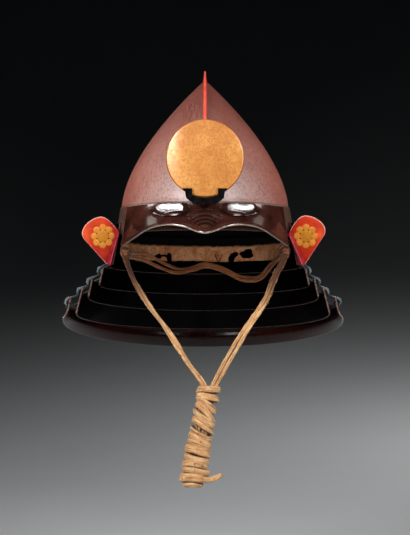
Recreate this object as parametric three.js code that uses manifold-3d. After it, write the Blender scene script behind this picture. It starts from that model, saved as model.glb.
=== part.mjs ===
// Kabuto: a peach-shaped helmet bowl of two plates under a red ridge, with a waist band, an embossed visor,
// a neck guard of five laced lames, red turnbacks, a gilded sun disc in a forked holder and a chin cord.
// Millimetres, +Z up, the face towards -Y. The origin is the centre of the bowl's rim.

import * as THREE from "three";
import { mergeVertices } from "three/addons/utils/BufferGeometryUtils.js";
import Module from "manifold-3d";

const wasm = await Module();
wasm.setup();

// Driving dimensions
const FIT = 0.5; // clearance between pieces that touch
const WELD = 1e-4; // points closer than this are one vertex

const BOWL = {
  halfWidth: 104,
  front: 117,
  back: 123,
  tipZ: 163.5,
  tipY: 12,
  sidePower: 1.65, // how the outline closes towards the point, seen from the front
  frontPower: 2.2, // the same for the front median line
  backPower: 2.0, // and for the back median line
  ridgeSharpness: 0.75, // how much the upper sections pinch to an edge
  plate: 2.2,
  skirt: 6, // depth of the rim inside the waist band
  seam: 0.3,
  rows: 12,
  columns: 18,
};

const RIDGE = {
  footHalf: 2.5,
  crestHalf: 1.9,
  tipHalf: 1.2,
  height: 5.5,
  tipHeight: 10.5,
  startShare: 0.04,
  clear: 0.6,
  tipClear: 0.9, // extra clearance where the faceted point is flatter than the fin's foot
  tipPower: 8, // how closely the taller part keeps to the point
  slopeStep: 0.01, // share of the height over which the slope is taken
};

const BAND = { wall: 1.5, height: 35, flare: 5, sides: 72 };
const BAND_TOP = {
  halfWidth: BOWL.halfWidth + FIT + BAND.wall,
  front: BOWL.front + FIT + BAND.wall,
  back: BOWL.back + FIT + BAND.wall,
};

const VISOR = {
  wall: 1.8,
  topZ: -1.5,
  rootShare: 0.95, // half width of the root against that of the free edge
  flarePower: 1.6, // keeps the upper part upright and turns the lower part out
  steps: 28,
  rows: 9,
  slopeStep: 0.004, // share of the visor over which its slope is taken
};
// The free edge of the visor, from the dip over the nose to the temple
const VISOR_EDGE = [
  { x: 0, y: -149, z: -40.5 },
  { x: 11, y: -148.5, z: -38 },
  { x: 22.5, y: -146, z: -33.2 },
  { x: 39.5, y: -139.5, z: -30 },
  { x: 54, y: -130, z: -30.7 },
  { x: 67, y: -117, z: -34 },
  { x: 84.5, y: -89, z: -43 },
  { x: 100.4, y: -62, z: -51.5 },
];
const BROW = { x: 42.5, row: 0.3, halfWidth: 20, halfRows: 0.27, lift: 5 };

const DISC = { radius: 45.7, y: -138, z: 47.9, thick: 3.6, dome: 1.5, edge: 1.2, sides: 40, rings: 4 };
const HOLDER = {
  armOuter: 23.4,
  armInner: 15,
  hook: 25.7,
  armTopZ: 12.3,
  hookZ: 9.6,
  hookDrop: 1, // slope of the underside of each hook
  shoulderZ: 1,
  shoulderX: 22,
  cornerZ: -5.5,
  cornerX: 14,
  bottomZ: -7,
  thick: 3,
  faceClear: 0.8, // room for the dome of the disc
  tongueHalf: 12,
  tongueTopZ: 14,
  stemHalf: 9,
  stemTopZ: 0,
  stemBackY: -125.6,
  inset: 1, // how far the bridge and tongue stop above the fork's lowest line
  stemInset: 1.5,
  seatDrop: 0.5,
  curveSteps: 8,
};

const LAME_WALL = 2.4;
// One row for each lame, from the top one down. End values hold at the temples, back values behind the head.
// The laced lames hang a little off centre, by their shift.
const LAMES = [
  { topHalf: 111.8, lowHalf: 121.5, topBack: 131, lowBack: 139.5, front: 125, endY: -44,
    endTopZ: -20, endLowZ: -72, backTopZ: -20, backLowZ: -77, lip: 0, shift: 0 },
  { topHalf: 126.5, lowHalf: 131.5, topBack: 143, lowBack: 148.5, front: 240, endY: -38,
    endTopZ: -75, endLowZ: -96, backTopZ: -70, backLowZ: -103.5, lip: 0, shift: -1 },
  { topHalf: 139, lowHalf: 144, topBack: 153.5, lowBack: 160, front: 240, endY: -38,
    endTopZ: -88, endLowZ: -111, backTopZ: -95.5, backLowZ: -125.5, lip: 0, shift: -2 },
  { topHalf: 150.5, lowHalf: 158.5, topBack: 165, lowBack: 172, front: 240, endY: -38,
    endTopZ: -100, endLowZ: -131, backTopZ: -117.5, backLowZ: -150, lip: 0, shift: -2.5 },
  { topHalf: 165.5, lowHalf: 171, topBack: 177, lowBack: 182, front: 240, endY: -38,
    endTopZ: -111, endLowZ: -137.5, backTopZ: -142, backLowZ: -172.5, lip: 4, shift: -2.5 },
];
const LAME_STEPS = 34;
const LAME_ROWS = [0, 0.5, 0.8, 1];
const LIP_START = 0.5;

const LACE = { half: 6, thick: 3.2, start: 0.62, end: 0.42, leadIn: 3, overEdge: 0.8, shortest: 0.1 };
const LACE_SHARES = [-0.96, -0.8, -0.6, -0.4, -0.2, 0, 0.2, 0.4, 0.6, 0.8, 0.96];

const TURNBACK = {
  wall: 2.2,
  y: -62,
  yaw: 0.22, // how far the leaf swings back for each millimetre outwards from pivotX
  pivotX: 100,
  tipZ: -74.5,
  grip: 10,
  lapEndY: -45.5,
  foldTop: 0.96, // the folded strip runs along this part of the leaf's inner edge
  foldLow: 0.06,
  foldInset: 0.2,
  rows: 5,
  curveSteps: 10,
};
// The two turnbacks are bent a little differently. tipX is the lower tip's distance from the middle, and lean
// is in degrees.
const TURNBACKS = [
  { name: "turnback_left", side: -1, tipX: 114.5, lean: -5 },
  { name: "turnback_right", side: 1, tipX: 117.8, lean: 4 },
];
// Outline of a turnback's leaf seen from the front, from its lower tip. The fold runs from the tip to inner.
const LEAF = {
  inner: { x: -14.5, z: 38.5 },
  heel: { x: 5, z: 2.5 },
  outer: { x: 30.5, z: 36 },
  outerHandle: { x: 38, z: 48 },
  crownHandle: { x: 21, z: 61 },
  crown: { x: 7.5, z: 61 },
  innerHandle: { x: -2, z: 60 },
};

const LINING = { wall: 1.6, topZ: -29, lowZ: -62, taper: 1, endAngle: 110, steps: 44, holeSteps: 6 };
// Worn holes in the lining, seen from the front
const LINING_HOLES = [
  { x: -62, z: -54, width: 7, height: 7 },
  { x: -45, z: -54, width: 5, height: 9 },
  { x: 34, z: -54, width: 10, height: 10 },
  { x: 55, z: -50, width: 15, height: 8 },
];

const ANCHOR = {
  x: 97,
  y: -50,
  z: -55.5,
  ring: 6,
  wire: 1.3,
  ringSides: 14,
  wireSides: 6,
  tabHalf: 3.5,
  tabTopZ: -27,
  tabThick: 1.6,
  tabClear: 0.3,
};
const CORD = { radius: 3.2, sides: 8, step: 16 };
const CORD_GAP = 0.8; // between the ends of two runs that meet in a temple loop
// Routes of the chin cord's runs, each from the helmet towards the bundle
const CORD_LEFT = [
  [-97, -53, -55.5], [-97, -57, -56], [-97, -60, -61], [-94, -59, -73], [-84.7, -57, -94], [-66.3, -56, -122],
  [-42, -55, -152.5], [-17.6, -55, -192.5], [-2, -55, -217.5],
];
const CORD_RIGHT = [
  [97, -53, -55.5], [97, -57, -56], [97, -60, -61], [93, -59, -72], [85.9, -57, -85.5], [73.7, -56, -116],
  [49.3, -55, -152.5], [31, -55, -183], [12, -55, -217.5],
];
// The run round the back of the head, from one temple loop to the other
const CORD_BACK = [
  [-97, -53 + CORD_GAP, -55.5], [-96.7, -49, -55.5], [-92.5, -39, -56], [-96, 0, -57], [-88, 50, -57],
  [-77, 72, -58],
  [-52, 96, -69], [-35, 107, -74], [-17, 113, -71], [0, 115.5, -66], [14, 114, -68.5], [31, 109, -75.5],
  [47, 100, -83.5], [70, 79, -84.5], [85, 55, -69], [94, 25, -60], [96, -5, -57], [92.5, -39, -56],
  [96.7, -49, -55.5], [97, -53 + CORD_GAP, -55.5],
];
const TAIL = [[2.4, -57, -333], [7, -60, -332.5], [13, -62, -330], [20.5, -62.5, -326.5]];

const BUNDLE = { x: 5.5, y: -55, topZ: -221.5, lean: 0.185, flatness: 0.8, sides: 12 };
// Radius of the wound bundle at each depth below its top
const BUNDLE_RINGS = [
  { drop: 0, radius: 10 },
  { drop: 4, radius: 14 },
  { drop: 14, radius: 15.5 },
  { drop: 26, radius: 13 },
  { drop: 45, radius: 15.5 },
  { drop: 80, radius: 16.5 },
  { drop: 107, radius: 15.5 },
  { drop: 118, radius: 13 },
  { drop: 122.5, radius: 8 },
];

// Materials
function finish(color, roughness, metalness) {
  return () => new THREE.MeshStandardMaterial({ color, roughness, metalness });
}
const russetIron = finish(0x8a5145, 0.5, 0.25);
const darkLacquer = finish(0x2a1512, 0.2, 0.1);
const redLacquer = finish(0xc8402a, 0.35, 0.0);
const gilt = finish(0xd79a45, 0.4, 0.7);
const blackIron = finish(0x17120f, 0.45, 0.4);
const blueBraid = finish(0x4f6670, 0.85, 0.0);
const tanCloth = finish(0xb98e5e, 0.9, 0.0);
const tanLeather = finish(0x8d613d, 0.75, 0.0);

const kabuto = new THREE.Group();
kabuto.name = "kabuto";

function addPiece(name, geometry, material) {
  const piece = new THREE.Mesh(geometry, material());
  piece.name = name;
  kabuto.add(piece);
}

// Geometry helpers
const mix = (from, to, share) => from + (to - from) * share;
const vector = (x, y, z) => new THREE.Vector3(x, y, z);
const radians = THREE.MathUtils.degToRad;

function signedVolume(position, index) {
  const [a, b, c] = [vector(), vector(), vector()];
  let volume = 0;
  for (let k = 0; k < index.length; k += 3) {
    a.fromBufferAttribute(position, index[k]);
    b.fromBufferAttribute(position, index[k + 1]);
    c.fromBufferAttribute(position, index[k + 2]);
    volume += a.dot(b.cross(c)) / 6;
  }
  return volume;
}

// Welds equal points, drops triangles that have no area and turns the faces outwards.
function weld(geometry) {
  const bare = new THREE.BufferGeometry();
  const source = geometry.index ? geometry.toNonIndexed() : geometry;
  bare.setAttribute("position", source.getAttribute("position").clone());
  const welded = mergeVertices(bare, WELD);
  const all = welded.getIndex().array;
  const kept = [];
  for (let k = 0; k < all.length; k += 3) {
    const [a, b, c] = all.slice(k, k + 3);
    if (a !== b && b !== c && c !== a) kept.push(a, b, c);
  }
  const inverted = signedVolume(welded.getAttribute("position"), kept) < 0;
  welded.setIndex(inverted ? kept.reverse() : kept);
  welded.computeVertexNormals();
  return welded;
}

// A closed body between two equal grids of points. A ring's last row joins its first.
function sheetBetween(outer, inner, ring = false) {
  const corners = [];
  const quad = (a, b, c, d) => corners.push(a, b, c, a, c, d);
  const last = outer[0].length - 1;
  const end = outer.length - 1;
  for (let i = 0; i < (ring ? outer.length : end); i++) {
    const next = (i + 1) % outer.length;
    for (let j = 0; j < last; j++) {
      quad(outer[i][j], outer[next][j], outer[next][j + 1], outer[i][j + 1]);
      quad(inner[i][j], inner[i][j + 1], inner[next][j + 1], inner[next][j]);
    }
    quad(outer[i][0], inner[i][0], inner[next][0], outer[next][0]);
    quad(outer[i][last], outer[next][last], inner[next][last], inner[i][last]);
  }
  for (let j = 0; j < last && !ring; j++) {
    quad(outer[0][j], outer[0][j + 1], inner[0][j + 1], inner[0][j]);
    quad(outer[end][j], inner[end][j], inner[end][j + 1], outer[end][j + 1]);
  }
  return weld(new THREE.BufferGeometry().setFromPoints(corners));
}

// A grid of points from a function of two shares that run from 0 to 1
function grid(rows, columns, point) {
  const share = (k, count) => k / count;
  return Array.from({ length: rows + 1 }, (_, i) =>
    Array.from({ length: columns + 1 }, (_, j) => point(share(i, rows), share(j, columns))));
}

function toSolid(geometry) {
  const welded = weld(geometry);
  return new wasm.Manifold(new wasm.Mesh({
    numProp: 3,
    vertProperties: Float32Array.from(welded.getAttribute("position").array),
    triVerts: Uint32Array.from(welded.getIndex().array),
  }));
}

function toGeometry(solid) {
  const mesh = solid.getMesh();
  const geometry = new THREE.BufferGeometry();
  geometry.setAttribute("position", new THREE.BufferAttribute(mesh.vertProperties, mesh.numProp));
  geometry.setIndex(new THREE.BufferAttribute(mesh.triVerts, 1));
  return weld(geometry);
}

function join(...geometries) {
  return toGeometry(geometries.map(toSolid).reduce((whole, piece) => whole.add(piece)));
}

function boxBetween(low, high) {
  const size = high.clone().sub(low);
  const centre = low.clone().add(high).multiplyScalar(0.5);
  return new THREE.BoxGeometry(size.x, size.y, size.z).translate(centre.x, centre.y, centre.z);
}

// Extrudes a shape drawn in front view (x, z) backwards from frontY.
function extrudeBack(shape, frontY, depth, curveSegments) {
  const plate = new THREE.ExtrudeGeometry(shape, { depth, bevelEnabled: false, curveSegments });
  return plate.rotateX(Math.PI / 2).translate(0, frontY + depth, 0);
}

function mirrored(geometry, side) {
  return side > 0 ? geometry : weld(geometry.clone().scale(-1, 1, 1));
}

// Bowl: share runs from the rim (0) to the point (1), angle from the front (0) to the back (PI).
function bowlPoint(share, angle, grow) {
  const width = (BOWL.halfWidth + grow) * (1 - share ** BOWL.sidePower);
  const widestY = BOWL.tipY * share;
  const frontY = BOWL.tipY - (BOWL.front + BOWL.tipY + grow) * (1 - share ** BOWL.frontPower);
  const backY = BOWL.tipY + (BOWL.back - BOWL.tipY + grow) * (1 - share ** BOWL.backPower);
  const cosine = Math.cos(angle);
  const medianY = cosine > 0 ? frontY : backY;
  const x = width * Math.sin(angle) ** sharpness(share);
  return vector(x, mix(widestY, medianY, Math.abs(cosine)), (BOWL.tipZ + grow) * share);
}

function sharpness(share) {
  return 1 + BOWL.ridgeSharpness * Math.sqrt(share);
}

function bowlPlate(side) {
  const surface = (grow) => grid(BOWL.columns, BOWL.rows, (around, up) => {
    const point = bowlPoint(up, Math.PI * around, grow);
    return point.setX(side * (Math.max(point.x, 0) + BOWL.seam / 2));
  }).map((column) => [column[0].clone().setZ(-BOWL.skirt), ...column]);
  return sheetBetween(surface(0), surface(-BOWL.plate));
}

// Ridge: a fin on the seam, from the front rim over the point to the back rim
function ridgeFin() {
  const outer = [];
  const inner = [];
  const addStation = (share, isBack, tipBlend) => {
    const median = isBack ? Math.PI : 0;
    const clear = RIDGE.clear + RIDGE.tipClear * tipBlend;
    const seat = bowlPoint(share, median, clear);
    const near = bowlPoint(share - RIDGE.slopeStep, median, clear);
    const run = near.clone().sub(seat).normalize();
    const across = vector(0, (isBack ? 1 : -1) * Math.abs(run.z), Math.abs(run.y));
    const outward = across.lerp(vector(0, 0, 1), tipBlend).normalize();
    const width = bowlPoint(share, Math.PI / 2, clear).x;
    const lean = Math.asin(Math.min(RIDGE.footHalf / width, 1) ** (1 / sharpness(share)));
    const foot = bowlPoint(share, isBack ? Math.PI - lean : lean, clear);
    const height = mix(RIDGE.height, RIDGE.tipHeight, tipBlend);
    const half = mix(RIDGE.crestHalf, RIDGE.tipHalf, tipBlend);
    const crest = seat.clone().addScaledVector(outward, height);
    outer.push([foot.clone().setX(-foot.x), crest.clone().setX(-half), crest.clone().setX(half), foot]);
    inner.push([foot.clone().setX(-foot.x), seat, seat, foot]);
  };
  const shares = Array.from({ length: BOWL.rows }, (_, k) => (k === 0 ? RIDGE.startShare : k / BOWL.rows));
  const tipBlend = (share) => share ** RIDGE.tipPower;
  shares.forEach((share) => addStation(share, false, tipBlend(share)));
  addTipStation(outer, inner);
  shares.reverse().forEach((share) => addStation(share, true, tipBlend(share)));
  return sheetBetween(outer, inner);
}

function addTipStation(outer, inner) {
  const clear = RIDGE.clear + RIDGE.tipClear;
  const seat = bowlPoint(1, 0, clear);
  const crest = seat.clone().add(vector(0, 0, RIDGE.tipHeight));
  const footShare = (1 - RIDGE.footHalf / (BOWL.halfWidth + clear)) ** (1 / BOWL.sidePower);
  const foot = bowlPoint(footShare, Math.PI / 2, clear);
  outer.push([
    foot.clone().setX(-foot.x), crest.clone().setX(-RIDGE.tipHalf), crest.clone().setX(RIDGE.tipHalf), foot,
  ]);
  inner.push([foot.clone().setX(-foot.x), seat, seat, foot]);
}

// Waist band: level runs from its top edge (0) to its bottom edge (1), angle from the front.
function bandPoint(level, angle, grow) {
  const spread = BAND.flare * level + grow;
  const depth = Math.cos(angle) > 0 ? BAND_TOP.front : BAND_TOP.back;
  const x = (BAND_TOP.halfWidth + spread) * Math.sin(angle);
  return vector(x, -(depth + spread) * Math.cos(angle), -BAND.height * level);
}

function waistBand() {
  const onBand = (grow) => (around, level) => bandPoint(level, 2 * Math.PI * around, grow);
  const surface = (grow) => grid(BAND.sides, 2, onBand(grow)).slice(0, BAND.sides);
  return sheetBetween(surface(0), surface(-BAND.wall), true);
}

// Visor: across runs from the wearer's right temple (0) to the left (1), down from the root to the free edge.
const visorRows = [...VISOR_EDGE.slice(1).reverse().map((row) => ({ ...row, x: -row.x })), ...VISOR_EDGE];
const visorEdge = new THREE.CatmullRomCurve3(visorRows.map((row) => vector(row.x, row.y, row.z)));

function visorPoint(across, down) {
  const edge = visorEdge.getPoint(across);
  const clear = FIT + VISOR.wall;
  const angle = Math.asin((VISOR.rootShare * edge.x) / (BAND_TOP.halfWidth + clear));
  const onBand = (z) => bandPoint(Math.min(-z / BAND.height, 1), angle, clear).setZ(z);
  const overhang = edge.clone().sub(onBand(edge.z));
  const point = onBand(mix(VISOR.topZ, edge.z, down)).addScaledVector(overhang, down ** VISOR.flarePower);
  const aside = (Math.abs(point.x) - BROW.x) / BROW.halfWidth;
  const below = (down - BROW.row) / BROW.halfRows;
  const lift = BROW.lift * Math.max(0, 1 - aside * aside - below * below);
  return point.add(vector(Math.sin(angle), -Math.cos(angle), 0).multiplyScalar(lift));
}

function visorNormal(across, down) {
  const step = VISOR.slopeStep;
  const [left, right] = [Math.max(across - step, 0), Math.min(across + step, 1)];
  const [upper, lower] = [Math.max(down - step, 0), Math.min(down + step, 1)];
  const along = visorPoint(right, down).sub(visorPoint(left, down));
  const fall = visorPoint(across, lower).sub(visorPoint(across, upper));
  return fall.cross(along).normalize();
}

function visorPlate() {
  const outer = grid(VISOR.steps, VISOR.rows, visorPoint);
  const inner = grid(VISOR.steps, VISOR.rows, (across, down) =>
    visorPoint(across, down).addScaledVector(visorNormal(across, down), -VISOR.wall));
  return sheetBetween(outer, inner);
}

// Crest: a disc that faces forward, and the fork that it stands in
function crestDisc() {
  const half = DISC.thick / 2;
  const face = Array.from({ length: DISC.rings }, (_, k) => {
    const radius = ((DISC.radius - DISC.edge) * (DISC.rings - k)) / DISC.rings;
    const rise = DISC.dome * (1 - (radius / (DISC.radius - DISC.edge)) ** 2);
    return new THREE.Vector2(radius, -half - rise);
  });
  const profile = [
    new THREE.Vector2(0, half),
    new THREE.Vector2(DISC.radius - DISC.edge, half),
    new THREE.Vector2(DISC.radius, half - DISC.edge),
    new THREE.Vector2(DISC.radius, DISC.edge - half),
    ...face,
    new THREE.Vector2(0, -half - DISC.dome),
  ];
  return weld(new THREE.LatheGeometry(profile, DISC.sides).translate(0, DISC.y, DISC.z));
}

function forkShape() {
  const bottomZ = DISC.z - DISC.radius - FIT;
  const innerZ = DISC.z - Math.sqrt(DISC.radius ** 2 - HOLDER.armInner ** 2) - FIT;
  const shape = new THREE.Shape();
  shape.moveTo(-HOLDER.hook, HOLDER.armTopZ);
  shape.lineTo(-HOLDER.hook, HOLDER.hookZ);
  shape.lineTo(-HOLDER.armOuter, HOLDER.hookZ - HOLDER.hookDrop);
  shape.lineTo(-HOLDER.shoulderX, HOLDER.shoulderZ);
  shape.lineTo(-HOLDER.cornerX, HOLDER.cornerZ);
  shape.quadraticCurveTo(0, 2 * HOLDER.bottomZ - HOLDER.cornerZ, HOLDER.cornerX, HOLDER.cornerZ);
  shape.lineTo(HOLDER.shoulderX, HOLDER.shoulderZ);
  shape.lineTo(HOLDER.armOuter, HOLDER.hookZ - HOLDER.hookDrop);
  shape.lineTo(HOLDER.hook, HOLDER.hookZ);
  shape.lineTo(HOLDER.hook, HOLDER.armTopZ);
  shape.lineTo(HOLDER.armInner, HOLDER.armTopZ);
  shape.lineTo(HOLDER.armInner, innerZ);
  shape.quadraticCurveTo(0, 2 * bottomZ - innerZ, -HOLDER.armInner, innerZ);
  shape.lineTo(-HOLDER.armInner, HOLDER.armTopZ);
  return shape;
}

function crestHolder() {
  const seatZ = DISC.z - DISC.radius - FIT;
  const frontY = DISC.y - DISC.thick / 2 - HOLDER.faceClear;
  const backY = DISC.y + DISC.thick / 2 + FIT;
  const fork = extrudeBack(forkShape(), frontY - HOLDER.thick, HOLDER.thick, HOLDER.curveSteps);
  const bridge = boxBetween(
    vector(-HOLDER.tongueHalf, frontY - HOLDER.thick / 2, HOLDER.bottomZ + HOLDER.inset),
    vector(HOLDER.tongueHalf, backY + HOLDER.thick / 2, seatZ - HOLDER.seatDrop),
  );
  const tongue = boxBetween(
    vector(-HOLDER.tongueHalf, backY, HOLDER.bottomZ + HOLDER.inset),
    vector(HOLDER.tongueHalf, backY + HOLDER.thick, HOLDER.tongueTopZ),
  );
  const stem = boxBetween(
    vector(-HOLDER.stemHalf, backY + HOLDER.thick / 2, HOLDER.bottomZ + HOLDER.stemInset),
    vector(HOLDER.stemHalf, HOLDER.stemBackY, HOLDER.stemTopZ),
  );
  return join(fork, bridge, tongue, stem);
}

// Neck guard: angle runs from behind the head (0) to either temple, down from a lame's top edge (0) to (1).
function lamePoint(lame, angle, down, grow) {
  const lip = lame.lip * Math.max(0, (down - LIP_START) / (1 - LIP_START)) ** 2;
  const half = mix(lame.topHalf, lame.lowHalf, down) + lip + grow;
  const back = mix(lame.topBack, lame.lowBack, down) + lip + grow;
  const cosine = Math.cos(angle);
  const y = (cosine > 0 ? back : lame.front + grow) * cosine;
  const behind = (y - lame.endY) / (lame.lowBack - lame.endY);
  const topZ = mix(lame.endTopZ, lame.backTopZ, behind);
  const lowZ = mix(lame.endLowZ, lame.backLowZ, behind);
  return vector(half * Math.sin(angle) + lame.shift, y, mix(topZ, lowZ, down));
}

function lamePlate(lame) {
  const end = Math.acos(lame.endY / lame.front);
  const surface = (grow) => grid(LAME_STEPS, LAME_ROWS.length - 1, (across, row) =>
    lamePoint(lame, mix(-end, end, across), LAME_ROWS[Math.round(row * (LAME_ROWS.length - 1))], grow));
  return sheetBetween(surface(0), surface(-LAME_WALL));
}

// The same place along the guard, as an angle on each lame: in front of the widest line it keeps its Y.
function stationAngle(lame, share) {
  const widest = LAMES[LAMES.length - 1];
  const angle = Math.abs(share) * Math.acos(widest.endY / widest.front);
  const onLame = angle <= Math.PI / 2 ? angle : Math.acos((widest.front * Math.cos(angle)) / lame.front);
  return Math.sign(share) * onLame;
}

// One column of lacing: down the outside of each lame and over the top edge of the next
function laceColumn(share) {
  const path = [];
  LAMES.forEach((lame, k) => {
    const angle = stationAngle(lame, share);
    const top = lamePoint(lame, angle, 0, 0).z;
    const low = lamePoint(lame, angle, 1, 0).z;
    const below = LAMES[k + 1];
    const nextTop = below ? lamePoint(below, stationAngle(below, share), 0, 0).z : 0;
    const leave = below ? (nextTop + LACE.leadIn - top) / (low - top) : LACE.end;
    const enter = k === 0 ? LACE.start : -LACE.overEdge / (top - low);
    path.push({ lame, angle, down: Math.min(enter, leave - LACE.shortest) }, { lame, angle, down: leave });
  });
  const surface = (grow) => path.map(({ lame, angle, down }) => {
    const turn = LACE.half / lame.topHalf;
    return [angle - turn, angle + turn].map((edge) => lamePoint(lame, edge, down, grow));
  });
  return sheetBetween(surface(FIT + LACE.thick), surface(FIT));
}

// Turnbacks: a leaf folded out from the front end of the top lame
function leafPoint(bend, { x, z }) {
  const turned = new THREE.Vector2(x, z).rotateAround(new THREE.Vector2(), radians(bend.lean));
  return [bend.tipX + turned.x, TURNBACK.tipZ + turned.y];
}

function leafShape(bend) {
  const at = (name) => leafPoint(bend, LEAF[name]);
  const shape = new THREE.Shape();
  shape.moveTo(...at("inner"));
  shape.lineTo(bend.tipX, TURNBACK.tipZ);
  shape.lineTo(...at("heel"));
  shape.lineTo(...at("outer"));
  shape.bezierCurveTo(...at("outerHandle"), ...at("crownHandle"), ...at("crown"));
  shape.quadraticCurveTo(...at("innerHandle"), ...at("inner"));
  return shape;
}

const leafY = (x) => TURNBACK.y + TURNBACK.yaw * (x - TURNBACK.pivotX);

// The strip that laps the end of the top lame and runs forward to the fold
function foldStrip(bend, thick) {
  const lame = LAMES[0];
  return grid(TURNBACK.rows, 2, (fallShare, forward) => {
    const up = mix(TURNBACK.foldTop, TURNBACK.foldLow, fallShare);
    const [x, z] = leafPoint(bend, { x: LEAF.inner.x * up, z: LEAF.inner.z * up });
    if (forward === 1) return vector(x + TURNBACK.foldInset + thick, leafY(x) - TURNBACK.wall / 2, z);
    const y = TURNBACK.lapEndY + (forward === 0 ? TURNBACK.grip : 0);
    const down = (z - lame.endTopZ) / (lame.endLowZ - lame.endTopZ);
    return lamePoint(lame, Math.acos(y / (lame.front + FIT)), down, FIT + thick);
  });
}

function turnback(bend) {
  const leaf = extrudeBack(leafShape(bend), -TURNBACK.wall, TURNBACK.wall, TURNBACK.curveSteps);
  const position = leaf.getAttribute("position");
  for (let k = 0; k < position.count; k++) {
    position.setY(k, position.getY(k) + leafY(position.getX(k)));
  }
  const strip = sheetBetween(foldStrip(bend, TURNBACK.wall), foldStrip(bend, 0));
  return mirrored(join(leaf, strip), bend.side);
}

// Lining: a leather band inside the waist band, open in front, with worn holes
function liningBand() {
  const end = radians(LINING.endAngle);
  const level = -LINING.topZ / BAND.height;
  const surface = (grow) => grid(LINING.steps, 1, (across, down) => {
    const angle = Math.PI + mix(-end, end, across);
    const point = bandPoint(level, angle, -BAND.wall - FIT - LINING.taper * down + grow);
    return point.setZ(mix(LINING.topZ, LINING.lowZ, down));
  });
  const band = toSolid(sheetBetween(surface(0), surface(-LINING.wall)));
  const holes = LINING_HOLES.map((hole) => {
    const outline = new THREE.Shape();
    outline.absellipse(hole.x, hole.z, hole.width / 2, hole.height / 2, 0, 2 * Math.PI, false, 0);
    return toSolid(extrudeBack(outline, BAND_TOP.back / 2, BAND_TOP.back, LINING.holeSteps));
  });
  return toGeometry(holes.reduce((left, hole) => left.subtract(hole), band));
}

// Chin cord: a loop at each temple, two runs down the face, one round the back, a wound bundle and its tail
function cordAnchor(side) {
  const ring = new THREE.TorusGeometry(ANCHOR.ring, ANCHOR.wire, ANCHOR.wireSides, ANCHOR.ringSides)
    .rotateX(Math.PI / 2)
    .translate(ANCHOR.x, ANCHOR.y, ANCHOR.z);
  const angle = Math.acos(-ANCHOR.y / BAND_TOP.front);
  const seat = bandPoint(-ANCHOR.tabTopZ / BAND.height, angle, -BAND.wall - FIT);
  const tab = boxBetween(
    vector(-ANCHOR.tabThick, -ANCHOR.tabHalf, ANCHOR.z + ANCHOR.ring - seat.z),
    vector(0, ANCHOR.tabHalf, 0),
  );
  tab.rotateZ(angle - Math.PI / 2).translate(seat.x - ANCHOR.tabClear, seat.y, seat.z);
  return mirrored(join(ring, tab), side);
}

function cordTube(route) {
  const section = new THREE.Shape();
  for (let k = 0; k < CORD.sides; k++) {
    const turn = (2 * Math.PI * k) / CORD.sides;
    const corner = [CORD.radius * Math.cos(turn), CORD.radius * Math.sin(turn)];
    if (k === 0) section.moveTo(...corner);
    else section.lineTo(...corner);
  }
  const extrudePath = new THREE.CatmullRomCurve3(route.map((point) => vector(...point)));
  const steps = Math.ceil(extrudePath.getLength() / CORD.step);
  return weld(new THREE.ExtrudeGeometry(section, { steps, extrudePath, bevelEnabled: false }));
}

function cordBundle() {
  const lowest = BUNDLE_RINGS[BUNDLE_RINGS.length - 1];
  const profile = [
    new THREE.Vector2(0, -lowest.drop),
    ...[...BUNDLE_RINGS].reverse().map((ring) => new THREE.Vector2(ring.radius, -ring.drop)),
    new THREE.Vector2(0, 0),
  ];
  const form = new THREE.LatheGeometry(profile, BUNDLE.sides).rotateX(Math.PI / 2);
  const position = form.getAttribute("position");
  for (let k = 0; k < position.count; k++) {
    position.setX(k, position.getX(k) + BUNDLE.lean * position.getZ(k) + BUNDLE.x);
    position.setY(k, position.getY(k) * BUNDLE.flatness + BUNDLE.y);
    position.setZ(k, position.getZ(k) + BUNDLE.topZ);
  }
  return weld(form);
}

// Assembly
const LEFT = -1;
const RIGHT = 1;
addPiece("bowl_left", bowlPlate(LEFT), russetIron);
addPiece("bowl_right", bowlPlate(RIGHT), russetIron);
addPiece("ridge", ridgeFin(), redLacquer);
addPiece("waist_band", waistBand(), darkLacquer);
addPiece("visor", visorPlate(), darkLacquer);
addPiece("crest_holder", crestHolder(), blackIron);
addPiece("crest_disc", crestDisc(), gilt);
LAMES.forEach((lame, k) => addPiece(`neck_lame_${k + 1}`, lamePlate(lame), darkLacquer));
LACE_SHARES.forEach((share, k) => addPiece(`lacing_${k + 1}`, laceColumn(share), blueBraid));
TURNBACKS.forEach((bend) => addPiece(bend.name, turnback(bend), redLacquer));
addPiece("lining_band", liningBand(), tanLeather);
addPiece("cord_anchor_left", cordAnchor(LEFT), tanCloth);
addPiece("cord_anchor_right", cordAnchor(RIGHT), tanCloth);
addPiece("chin_cord_left", cordTube(CORD_LEFT), tanCloth);
addPiece("chin_cord_right", cordTube(CORD_RIGHT), tanCloth);
addPiece("chin_cord_back", cordTube(CORD_BACK), tanCloth);
addPiece("chin_cord_bundle", cordBundle(), tanCloth);
addPiece("chin_cord_tail", cordTube(TAIL), tanCloth);

export default kabuto;
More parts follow.
